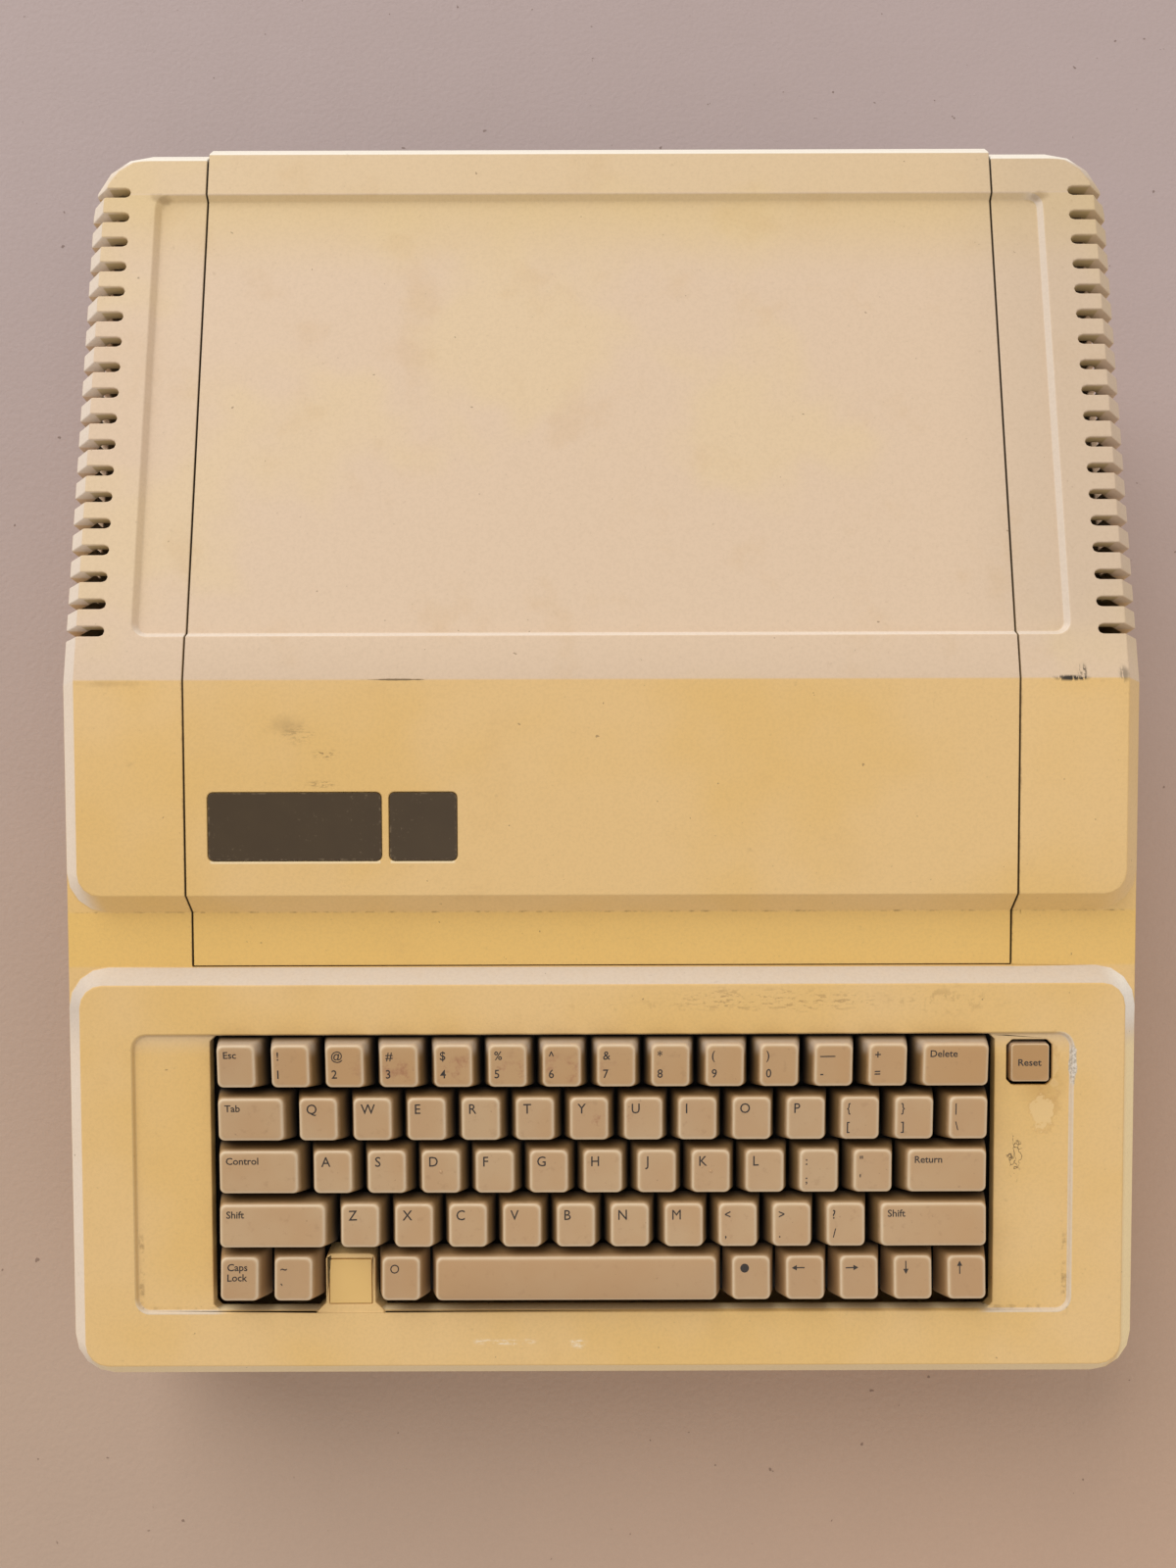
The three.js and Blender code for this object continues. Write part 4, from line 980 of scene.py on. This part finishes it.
def ribbon_vinyl():
    """Grey flat cable: parallel cores in soft vinyl, with one marked edge."""
    material, place = new_material("ribbon_vinyl")
    x = split(place)[0]
    cores = (x * (2 * math.pi / CORE_PITCH)).maths("SINE")
    tone = blended(mottle(place, 200, 3), "#A9A79E", "#BEBCB3")
    return finish_with(material, place, {
        "Base Color": blended(fade(x, -15.6, -15.9), tone, "#A8432F"),
        "Roughness": 0.5 + cores * 0.04,
        "Normal": dimpled(cores, 0.5, 0.0002),
    })


dress("keyboard_cable", ribbon_vinyl())

# ---------------------------------------------------------------------------------------------
# Power supply
# A box folded from gold-passivated steel, which stands on the pan on the left. The cord inlet and
# the rocker switch sit in wells of its rear, and the rocker tilts about the middle of its well.

dress("power_supply", zinc_plate("passivated_steel", "#C9C2A0", "#9B946F"))
INLET_X, INLET_Z = -141, 26.5
RING_Z = 48.2


def switch_black():
    """Black moulding. The rocker has a ring printed at one end and a bar at the other."""
    material, place = new_material("switch_black")
    x, y, z = split(place)
    wear = mottle(place, 500, 4, 0.6)
    aside, up = x - INLET_X, z - RING_Z
    ring = between((aside * aside + up * up).maths("SQRT"), 1.2, 1.7, 0.15)
    bar = between(aside, -0.3, 0.3, 0.15) * between(z, 57.6, 61.2, 0.2)
    printed = (ring + bar) * fade(y, 208, 209)
    return finish_with(material, place, {
        "Base Color": coats(blended(wear, "#1E1C1A", "#322F2B"), (printed * 0.85, "#D9D6CC")),
        "Roughness": 0.4 + wear * 0.2,
        "Normal": dimpled(mottle(place, 2500, 2), 0.12, 0.0001),
    })


dark_plastic = switch_black()
new_piece(
    "rocker", softened("power_switch", 0.5), [dark_plastic], "rocker",
    ["power_switch"],
)

# ---------------------------------------------------------------------------------------------
# Main board, sockets, rear panel and loudspeaker
# The board stands on posts of the pan, with its card slots and jacks towards the rear panel,
# which is zinc-plated sheet steel with a raised blank over each spare port.

BOARD_LEFT_X, BOARD_RIGHT_X = -98, 178
BOARD_REAR_Y = 205
BOARD_FRONT_Y = RIDGE_Y - 34.2
BOARD_TOP_Z = 19.9
dress("motherboard", laminate)
dress("rear_panel", zinc)


def moulded_dark(name, dark, light):
    """Hard dark plastic with a little dust on it."""
    material, place = new_material(name)
    dust = mottle(place, 240, 5, 0.65)
    return finish_with(material, place, {
        "Base Color": blended(fade(dust, 0.4, 0.7), dark, light),
        "Roughness": 0.4 + dust * 0.25,
        "Normal": dimpled(mottle(place, 2600, 2), 0.15, 0.0001),
    })


def tinned():
    """Tin over copper, dulled in places."""
    material, place = new_material("tinned_metal")
    dull = mottle(place, 420, 4, 0.6)
    return finish_with(material, place, {
        "Base Color": blended(dull, "#D6D4CC", "#A7A49A"),
        "Metallic": 1.0,
        "Roughness": 0.25 + dull * 0.3,
        "Normal": dimpled(dull, 0.1, 0.0001),
    })


epoxy = moulded_dark("chip_epoxy", "#1D1C1B", "#34322F")
tin = tinned()
chip_sizes = {"Width": 52.3, "Length": 14.3, "Height": 4.15}


def chip_tree(material):
    """A chip's body with the half-round notch that marks its first leg."""
    tree, given = new_tree("chip_body", chip_sizes)
    width, length, height = given["Width"], given["Length"], given["Height"]
    notch = height.node("GeometryNodeMeshCylinder", None, {
        "Vertices": 16, "Radius": length * 0.13, "Depth": height
    })
    notch = moved(notch, width * -0.5, 0.0, height * 0.75)
    end_tree(given, minus(block(width, length, height), notch), material)
    return tree


leg_sizes = {"Width": 0.55, "Length": 0.5, "Height": 3.0}


def peg_tree(material):
    """A small straight peg: a chip's leg, a contact of a card slot or a pin of the inlet."""
    tree, given = new_tree("peg", leg_sizes)
    end_tree(given, block(given["Width"], given["Length"], given["Height"]), material)
    return tree


CHIP_MARGIN, CHIP_GAP, CHIP_ROW_PITCH, CONTACT_PITCH = 26, 8, 24, 2.54
chip_bodies, leg_places = chip_tree(epoxy), []
for row, (width, length) in enumerate([(52, 14), (52, 14), (20, 7.5), (20, 7.5)]):
    pitch = width + CHIP_GAP
    count = int((BOARD_RIGHT_X - BOARD_LEFT_X - 2 * CHIP_MARGIN + CHIP_GAP) / pitch)
    y = BOARD_FRONT_Y + CHIP_MARGIN + row * CHIP_ROW_PITCH
    centres = [BOARD_LEFT_X + CHIP_MARGIN + width / 2 + index * pitch for index in range(count)]
    laid_out(
        f"chips_row_{row + 1}", chip_bodies,
        [(x, y, BOARD_TOP_Z + chip_sizes["Height"] / 2) for x in centres],
        dict(chip_sizes, Width=width + 0.3, Length=length + 0.3),
    )
    legs = int((width - 2) / CONTACT_PITCH) + 1
    leg_places += [
        (x + (leg - (legs - 1) / 2) * CONTACT_PITCH, y + side * (length / 2 + 0.4),
         BOARD_TOP_Z + leg_sizes["Height"] / 2)
        for x in centres for side in (-1, 1) for leg in range(legs)
    ]
tin_peg = peg_tree(tin)
laid_out("chip_legs", tin_peg, leg_places, leg_sizes)

slot_sizes = {
    "Width": 9.3, "Length": 76.3, "Height": 15.15, "Groove Width": 1.8, "Groove Length": 67.8,
    "Groove Depth": 7.8,
}


def slot_tree(material):
    """A long block with a groove in its top."""
    tree, given = new_tree("card_slot", slot_sizes)
    height = given["Height"]
    groove = block(given["Groove Width"], given["Groove Length"], given["Groove Depth"] * 2)
    body = block(given["Width"], given["Length"], height)
    end_tree(given, minus(body, moved(groove, 0.0, 0.0, height * 0.5)), material)
    return tree


slot_plastic = moulded_dark("slot_plastic", "#2C4338", "#3F5A4B")
SLOT_INSET, SLOT_PITCH, SLOT_MIDDLE_INSET = 18, 20.3, 52
slot_x = [BOARD_LEFT_X + SLOT_INSET + index * SLOT_PITCH for index in range(7)]
slot_y = BOARD_REAR_Y - SLOT_MIDDLE_INSET
laid_out(
    "card_slots", slot_tree(slot_plastic),
    [(x, slot_y, BOARD_TOP_Z + slot_sizes["Height"] / 2) for x in slot_x], slot_sizes,
)
contacts = [
    (x + side * 0.85, slot_y + (index - 12) * CONTACT_PITCH, BOARD_TOP_Z + 12.2)
    for x in slot_x for side in (-1, 1) for index in range(25)
]
contact_sizes = {"Width": 0.3, "Length": 1.3, "Height": 5.0}
laid_out("slot_contacts", tin_peg, contacts, contact_sizes)

jack_sizes = {"Width": 14.3, "Length": 22.8, "Height": 12.2, "Bore": 3.15, "Bore Depth": 9.0}
collar_sizes = {"Outer": 5.4, "Inner": 3.0, "Depth": 1.2}


def rod_along(radius, depth):
    """A round rod that lies front to rear."""
    rod = depth.node("GeometryNodeMeshCylinder", None, {
        "Vertices": 32, "Radius": radius, "Depth": depth
    })
    turn = {"Geometry": rod, "Rotation": (math.pi / 2, 0.0, 0.0)}
    return rod.node("GeometryNodeTransform", None, turn)


def jack_tree(material):
    """A moulded block with a bore in its rear for a round plug."""
    tree, given = new_tree("jack", jack_sizes)
    body = block(given["Width"], given["Length"], given["Height"])
    bore = rod_along(given["Bore"], given["Bore Depth"] * 2)
    end_tree(given, minus(body, moved(bore, 0.0, given["Length"] * 0.5, 0.0)), material)
    return tree


def collar_tree(material):
    """The metal ring round a jack's bore."""
    tree, given = new_tree("jack_collar", collar_sizes)
    disc = rod_along(given["Outer"], given["Depth"])
    end_tree(given, minus(disc, rod_along(given["Inner"], given["Depth"] * 2)), material)
    return tree


JACK_INSET, JACK_PITCH, JACK_Z = 22, 24, BOARD_TOP_Z + 6
jack_x = [BOARD_RIGHT_X - JACK_INSET - JACK_PITCH * index for index in range(4)]
laid_out(
    "jacks", jack_tree(epoxy), [(x, 208.9, JACK_Z) for x in jack_x], jack_sizes,
)
laid_out(
    "jack_collars", collar_tree(tin), [(x, 220.6, JACK_Z) for x in jack_x], collar_sizes,
)
PANEL_REAR_Y = 218.2
rearwards = screw_tree("screw_rear", zinc, (-math.pi / 2, 0.0, 0.0))
panel_screws = [
    (x, PANEL_REAR_Y, z)
    for xs, z in (((-162, -94, 62, 162), 88), ((-162, -94, 62), 16), ((162,), 45)) for x in xs
]
laid_out("panel_screws", rearwards, panel_screws, screw_sizes)

# The inlet in the supply's rear: three pins, and a black lining pressed into the well.
pins = [
    (INLET_X + across, 205.5, INLET_Z + up) for across, up in ((0, 2.5), (-6, -2), (6, -2))
]
pin_sizes = {"Width": 1.9, "Length": 12.0, "Height": 4.0}
laid_out("inlet_pins", tin_peg, pins, pin_sizes)
inner, outer = (10.9, 6.9), (11.85, 7.85)
shape = bmesh.new()
rims = [
    [shape.verts.new((INLET_X + i * half_x, y, INLET_Z + j * half_z)) for i, j in CORNERS]
    for (half_x, half_z), y in ((inner, 200.2), (inner, 213.2), (outer, 213.2), (outer, 200.2))
]
join_rings(shape, rims + rims[:1])
new_piece("inlet_lining", to_mesh("inlet_lining", shape), [dark_plastic])


def cone_paper():
    """Pressed black paper with a fibrous face."""
    material, place = new_material("cone_paper")
    fibre = mottle(place, 800, 5, 0.7)
    return finish_with(material, place, {
        "Base Color": blended(fibre, "#23211F", "#3A3733"),
        "Roughness": 0.85 - fibre * 0.15,
        "Normal": dimpled(fibre, 0.3, 0.0002),
    })


dress("speaker", cone_paper())

# ---------------------------------------------------------------------------------------------
# Upper case and lid
# Both are injection moulded in the same sand-coloured plastic with a fine leather grain. Sun has
# turned them yellow in patches, most on the sloping front, which is also painted yellower as
# painted light. Years of use left scuffs on the ridge and a few stains and paint marks. Edges that
# face the light carry painted highlights, and the seams, slots and hollows painted shade and darker
# lines.

SEAM_X = 147.5
TRAY_SIDE_X, TRAY_FRONT_Y, TRAY_REAR_Y = 166.6, 34.9, 206.3
RECESS_SIDE_X, RIM_CORNER = 167.5, 5
RECESS_FRONT_Y = -202


def stretched(place, scale):
    """The place as a pattern reads it that is drawn out along an axis."""
    return place.node("ShaderNodeMapping", None, {"Vector": place, "Scale": scale})


def aged_case_plastic():
    """Sand plastic under its years. Each mark is laid where it stands on the plan of the case."""
    material, place = new_material("aged_case_plastic")
    x, y, z = split(place)
    aside = x.maths("ABSOLUTE")
    below = CASE_TOP_Z - (RIDGE_Y - y).larger(0.0) * math.tan(SLOPE) - z
    on_top = fade(below, 8.5, 7.5)
    broad = mottle(place, 11, 3, 0.55)
    medium = mottle(place, 38, 4, 0.6)
    fine = mottle(place, 260, 5, 0.65)
    dust = mottle(place, 900, 4, 0.65)
    across = stretched(place, (0.3, 1.0, 1.0))

    # The slope, the channel and the deck are yellower than the level top: partly sun yellowing,
    # partly painted light, the level top painted paler as if it caught more of the light from
    # above.
    pale = blended(fade(broad, 0.5, 0.62), "#DDC2A5", "#DFC49F")
    amber = blended(fade(broad, 0.4, 0.64), "#E2BC80", "#E0B771")
    in_front = fade(y, RIDGE_Y + 90, RIDGE_Y - 50)
    in_front = in_front + (fade(y, RIDGE_Y + 0.5, RIDGE_Y - 0.5) - in_front) * on_top
    rear_band = fade(y, 170, 205) * fade(y, 206.4, 205.8) + fade(y, 206, 207) * 0.6
    tone = coats(
        blended(in_front, pale, amber),
        (rear_band * on_top * 0.7, "#DBBD84"),
        (between(y, CHANNEL_FRONT_Y, CHANNEL_REAR_Y, 0.6) * on_top * 0.85, "#E4B966"),
        (fade(medium, 0.55, 0.75) * 0.16, "#C79F63"),
    )

    # Painted highlight: the sloped edges at the sides and rear, and the tray walls that face the
    # light, are painted pale, least at the front.
    sloped = between(below, 0.3, 6.75, 0.12)
    left_side, right_side = fade(x, -177, -188), fade(x, 177, 190) * 0.15
    lit_faces = left_side.larger(right_side).larger(fade(y, 211, 216)) * sloped
    tray = between(aside, -1, TRAY_SIDE_X, 0.1) * between(y, TRAY_FRONT_Y, TRAY_REAR_Y, 0.1)
    tray_lit = fade(y, 41, 35).larger(fade(x, 158, 165))
    lit_faces = lit_faces.larger(tray * between(below, 0.2, 2.0, 0.08) * tray_lit)

    # The walls of the shallow recess round the keys carry a painted highlight where they face the
    # light, and painted shade on the other side.
    out_x = (aside - (RECESS_SIDE_X - RIM_CORNER)).larger(0.0)
    half_y = (OPENING_LENGTH / 2 + 0.6) * math.cos(SLOPE)
    out_y = ((y - DECK_MIDDLE_Y).maths("ABSOLUTE") - (half_y - RIM_CORNER)).larger(0.0)
    from_rim = (out_x * out_x + out_y * out_y).maths("SQRT") - RIM_CORNER
    recess_lit = fade(y, -197, -203).larger(fade(x, 160, 166))
    recess_walls = between(from_rim, -0.9, 0.45, 0.2) * fade(aside, 134, 140)
    recess_walls = recess_walls * between(y, -205, -101.9, 0.4) * fade(below, 1.3, 1.1)
    # Painted highlights: the rear edge of the deck, the right edge and the front wall of the key
    # opening.
    deck_rear = fade(y, DECK_REAR_Y - 26, DECK_REAR_Y - 6)
    deck_rear = deck_rear * fade(y, CHANNEL_FRONT_Y + 0.6, CHANNEL_FRONT_Y) * sloped
    right_edge = fade(x, 184, 188) * fade(y, CHANNEL_FRONT_Y - 22, CHANNEL_FRONT_Y - 30) * sloped
    front_edge = fade(y, -219, -221.5) * sloped * fade(aside, 186, 180)
    well_front = between(y, -203.4, -201.8, 0.2) * between(below, 1.3, 14, 0.2)
    shaded = fade(x, 120, 170) * fade(y, RIDGE_Y, RIDGE_Y + 30) * on_top
    # Painted shade in the seams beside the lid, paler over the middle of their run.
    crevice = between(aside, SEAM_X - 0.38, SEAM_X + 0.38, 0.06)
    crevice = crevice * fade(y, CHANNEL_FRONT_Y, CHANNEL_FRONT_Y + 1)
    paler_seam_run = between(y, -8, 50, 25) * 0.7
    # Painted highlight along the rear rim of the case and of the lid.
    rear_rim = fade(y, 222.3, 222.8) + fade(y, 219.9, 220.4) * fade(aside, 147.2, 147.6)
    # The walls of the side slots are painted darker, most deep in: painted shade.
    slot_walls = between(aside, 168.5, 184.5, 0.4) * fade(below, 0.5, 1.5) * fade(below, 14, 12)
    slot_walls = slot_walls * between(y, 25, 209.1, 0.2)
    tone = coats(
        tone,
        (lit_faces * (0.72 + medium * 0.2), "#ECDECF"),
        (recess_walls * recess_lit * (0.6 + fine * 0.3), "#D6C8B6"),
        (deck_rear * (0.8 + fine * 0.2), "#D4C6B7"),
        (recess_walls * (1.0 - recess_lit) * 0.35, "#A98A58"),
        (fade(x, 178, 188) * deck_rear * 0.8, "#FBF3E6"),
        (right_edge * 0.7, "#FFEBB9"),
        (front_edge * 0.6, "#F0DFBC"),
        (well_front * between(aside, -1, 141, 1) * 0.9, "#FFE7B8"),
        (shaded * 0.35, "#BFAB94"),
        (fade(dust, 0.42, 0.62) * 0.07, "#8E744E"),
        (crevice * 0.85, blended(paler_seam_run, "#4A3B24", "#A88D63")),
        (rear_rim * fade(below, 4, 3), "#F7EEDF"),
        (slot_walls * 0.75, blended(fade(below, 2, 9), "#B59F6C", "#6E5A34")),
    )

    # Patchy darker lines along the foot of the brow, at the seams and in the corners of the recess.
    foot = between(y, CHANNEL_REAR_Y - 0.3, CHANNEL_REAR_Y + 0.2, 0.25) * on_top
    seam = between(aside, SEAM_X - 0.5, SEAM_X + 0.7, 0.25)
    seam = seam * between(y, CHANNEL_FRONT_Y, RIDGE_Y, 2)
    corner = between(aside, 164.8, 166.6, 0.5) * between(y, RECESS_FRONT_Y - 1.5, -176, 4.0)
    front_corner = between(y, RECESS_FRONT_Y - 0.6, RECESS_FRONT_Y + 0.6, 0.3)
    corner = corner + front_corner * between(aside, 139, 166, 2.0) * 0.6
    crease_marks = (foot * 0.55 + seam * 0.35 + corner * 0.5) * fade(fine, 0.46, 0.66) * on_top
    specks = fade(dust, 0.71, 0.75) + fade(mottle(place, 330, 2, 0.5), 0.77, 0.79)

    # A black scuff and a smudge on the ridge, and some dull stains on the slope.
    streaks = stretched(place, (1.0, 0.28, 1.0))
    scuff = near(x, y, (165.5, 19.2), (8.5, 1.5), medium, 0.7)
    scuff = scuff + near(x, y, (169.3, 21.6), (2.4, 4.2), medium, 0.7)
    scuff = scuff + near(x, y, (184, 20.5), (2.6, 4.0), medium, 0.8) * 0.55
    stains = near(x, y, (-98, -6.5), (6.5, 2.4), fine, 0.9)
    stains = stains + near(x, y, (-99, -17), (7.5, 1.8), fine, 0.9)
    stains = stains + near(x, y, (-107, 0.5), (8, 4.5), fine, 1) * 0.5
    smudged = near(x, y, (-173, RIDGE_Y - 1.2), (16, 1.8), fine, 1) * 0.6
    smudged = smudged + near(aside, y, (165, 204.8), (5, 2.5), fine, 0.8) * 1.2
    tone = coats(
        tone,
        (crease_marks, "#6B4C28"),
        (fade(fine, 0.64, 0.78) * 0.2, "#8E7048"),
        (specks * 0.55, "#6E5436"),
        (scuff * fade(mottle(streaks, 700, 5, 0.75), 0.42, 0.5), "#32281B"),
        (near(x, y, (-111, 3.5), (9, 5), fine, 1) * 0.3, "#8C6F48"),
        (stains * fade(mottle(across, 1300, 4, 0.75), 0.51, 0.57) * 0.75, "#6B5230"),
        (near(x, y, (-72, RIDGE_Y), (13, 0.4), fine, 0.5) * 0.8, "#5A4426"),
        (smudged * 0.42, "#8A6A3C"),
    )

    # The front walls of the pockets for the plates catch the light.
    lit_lip = between(y, -44.5, -43.5, 0.15) * between(x, -138.5, -52, 0.5)
    lit_lip = lit_lip * (1.0 - between(x, -78.3, -74.7, 0.2))

    # Beside the reset key: a dark stain with peeled patches, cracks, and a knock on the edge.
    torn = (mottle(place, 130, 4, 0.65) - 0.5) * 2.6 + 0.5
    peeled = near(x, y, (157, -131.5), (4.4, 6.4), torn, 0.12)
    peeled = peeled + near(x, y, (160.5, -117), (3.8, 7.4), torn, 0.2) * 0.6
    ring = near(x, y, (157.5, -131), (6.2, 8.2), torn, 0.3)
    ring = ring + near(x, y, (160, -115), (5, 9), torn, 0.3)
    swirl = place.node("ShaderNodeTexNoise", None, {"Vector": place, "Scale": 300.0}, 1)
    bent = place.node(
        "ShaderNodeVectorMath", {"operation": "MULTIPLY_ADD"},
        {0: swirl, 1: (0.006, 0.006, 0.006), 2: place},
    )
    tall = {"Vector": stretched(bent, (1.0, 0.4, 1.0)), "Scale": 330.0}
    cracked = place.node("ShaderNodeTexVoronoi", {"feature": "DISTANCE_TO_EDGE"}, tall)
    crack = fade(cracked, 0.06, 0.02) * near(x, y, (147.6, -147), (2.3, 7.5), torn, 0.4)
    knock = near(x, y, (167.7, -115.5), (1.4, 8.0), fine, 0.3)

    # Old drips along the rear of the deck, and white paint rubbed on its front edge.
    drips = near(x, y, (120, -93), (34, 6.5), medium, 0.9) * fade(fine, 0.5, 0.62)
    drips = drips + near(x, y, (15, -95), (70, 4.0), medium, 0.9) * fade(fine, 0.54, 0.66) * 0.6
    scribbled = fade(mottle(across, 800, 4, 0.7), 0.53, 0.6)
    rubs = near(x, y, (-36, -214), (14, 1.5), fine, 0.7)
    rubs = rubs + near(x, y, (-9, -214.6), (3.8, 2.2), fine, 0.6)
    tone = coats(
        tone,
        (lit_lip * 0.6, "#F6E3BC"),
        (near(x, y, (157, -122), (13, 12), medium, 0.8) * 0.5, "#BE924C"),
        (ring * 0.22, "#A87438"),
        (peeled * 0.48, "#EFCF96"),
        (crack * 0.85, "#573F22"),
        (knock * 0.9, blended(fade(dust, 0.4, 0.6), "#A79C8C", "#DDD3C6")),
        (drips * 0.38, "#A07C48"),
        (near(x, y, (62, -93), (70, 5.5), medium, 0.9) * scribbled * 0.5, "#8A673C"),
        (rubs * fade(mottle(across, 620, 5, 0.8), 0.46, 0.58) * 0.62, "#F0E2CC"),
    )
    return finish_with(material, place, {
        "Base Color": tone,
        "Roughness": 0.5 + medium * 0.18 + crease_marks * 0.1,
        "Normal": dimpled(mottle(place, 1500, 3, 0.5) + crack * -2.0, 0.3, 0.0002),
    })


case_plastic = aged_case_plastic()


def outside(at, edge):
    """Picks the edges of the moulding that show from outside."""
    if edge.calc_length() < 0.4 * MM or (abs(at.y - CHANNEL_FRONT_Y) < 0.8 and abs(at.x) < 150):
        return False
    surface = CASE_TOP_Z - max(0, RIDGE_Y - at.y) * math.tan(SLOPE)
    rim = abs(at.x) > 184 or at.y > 218 or at.y < -221
    return at.z > surface - 9.5 or (rim and at.z > 9)


new_piece(
    "case_moulding", softened("upper_case", 0.45, outside), [case_plastic],
    replaces=["upper_case"],
)
new_piece(
    "lid_moulding",
    softened(
        "lid", 0.4,
        lambda at, edge: edge.calc_length() > 0.6 * MM and at.y > CHANNEL_FRONT_Y + 1.5,
    ),
    [case_plastic], "lid", ["lid"],
)

# ---------------------------------------------------------------------------------------------
# Badges and power lamp
# Two bare plates of dark anodised metal lie in shallow pockets of the lid. The lamp shines
# through a plain plate of the case's colour, in the tongue between two keys.


def dark_plate():
    """Dark anodised metal, worn along its edges and a little scuffed elsewhere."""
    material, place = new_material("dark_badge_plate")
    x, y, _ = split(place)
    scuff = fade(mottle(place, 700, 5, 0.7), 0.6, 0.72) * fade(mottle(place, 60, 2), 0.45, 0.6)
    inside = between(x, -138.6, -78.6, 0.3) + between(x, -74.4, -51.9, 0.3)
    inside = inside * between(y, -42.8, -20.3, 0.3)
    scuff = scuff + (1.0 - inside) * fade(mottle(place, 420, 4, 0.7), 0.52, 0.64)
    tone = blended(mottle(place, 120, 3), "#3F2E17", "#46351C")
    return finish_with(material, place, {
        "Base Color": blended(scuff * 0.4, tone, "#8A7658"),
        "Roughness": 0.38 + scuff * 0.3,
        "Normal": dimpled(mottle(place, 2200, 2), 0.1, 0.0001),
    })


badge_finish = dark_plate()
for node in ("badge_wide", "badge_small"):
    new_piece(
        node.replace("badge", "plate"), softened(node, 0.25), [badge_finish],
        "lid", [node],
    )


def lamp_plastic():
    material, place = new_material("lamp_plate_plastic")
    return finish_with(material, place, {
        "Base Color": blended(mottle(place, 80, 3), "#DCB36B", "#E2BA74"),
        "Roughness": 0.4 + mottle(place, 200, 2) * 0.1,
        "Normal": dimpled(mottle(place, 1500, 2), 0.15, 0.0001),
    })


new_piece(
    "lamp_plate", softened("power_lamp", 0.2), [lamp_plastic()],
    replaces=["power_lamp"],
)

# ---------------------------------------------------------------------------------------------
# Table top, light and camera
# A plain pale surface, a soft sky and two soft lamps: the stronger one stands beyond the rear
# left corner, as the window does in the photograph. The camera looks down from above the keys.


def table_top():
    material, place = new_material("pale_table")
    x, y, _ = split(place)
    # The colour drifts from left to right and front to rear: painted unevenness of the light on it.
    front = blended(fade(x, -250, 250), "#B79D89", "#C0A088")
    pebbles = mottle(place, 420, 3, 0.6)
    tone = coats(
        blended(fade(y, -250, 300), front, "#B5A29F"),
        (pebbles * 0.12 + mottle(place, 30, 4) * 0.12, "#8F7C70"),
        (fade(mottle(place, 210, 2, 0.5), 0.74, 0.765) * 0.6, "#5E4638"),
    )
    return finish_with(material, place, {
        "Base Color": tone,
        "Roughness": 0.62 + pebbles * 0.2,
        "Normal": dimpled(pebbles, 0.45, 0.0007),
    })


mesh = bpy.data.meshes.new("table_top")
mesh.from_pydata([(-4, -4, 0), (4, -4, 0), (4, 4, 0), (-4, 4, 0)], [], [(0, 1, 2, 3)])
mesh.materials.append(table_top())
in_scene("table_top", mesh)


def daylight(name, azimuth, elevation, strength, spread, colour):
    """Soft light from far away. azimuth is in degrees from the rear, to the right."""
    lamp = bpy.data.lights.new(name, "SUN")
    lamp.energy = strength * math.pi
    lamp.angle = math.radians(spread)
    lamp.color = colour
    across, up = math.radians(azimuth), math.radians(elevation)
    towards = Vector((
        math.sin(across) * math.cos(up), math.cos(across) * math.cos(up), math.sin(up)
    ))
    in_scene(name, lamp).rotation_euler = towards.to_track_quat("Z", "Y").to_euler()


daylight("window", -35, 34, 0.62, 50, (1.0, 0.985, 0.965))
daylight("room", 140, 48, 0.24, 60, (1.0, 0.97, 0.93))

world = bpy.data.worlds.new("sky")
world.use_nodes = True
sky = world.node_tree.nodes["Background"].inputs
sky["Color"].default_value = (1.0, 0.985, 0.97, 1.0)
sky["Strength"].default_value = 0.5
bpy.context.scene.world = world

lens = bpy.data.cameras.new("camera")
lens.sensor_fit = "VERTICAL"
lens.sensor_height = 36
lens.lens = 27
camera = in_scene("camera", lens)
eye = Vector((-4.83, -79.58, 517.27)) * MM
tilt, roll = math.radians(8.66), math.radians(-0.167)
ahead = Vector((0, math.sin(tilt), -math.cos(tilt)))
level = Vector((1, 0, 0))
upward = Vector((0, math.cos(tilt), math.sin(tilt)))
right = level * math.cos(roll) + upward * math.sin(roll)
above = upward * math.cos(roll) - level * math.sin(roll)
axes = Matrix((right, above, -ahead)).transposed()
camera.matrix_world = Matrix.Translation(eye) @ axes.to_4x4()
bpy.context.scene.camera = camera
bpy.context.scene.view_settings.view_transform = "Standard"
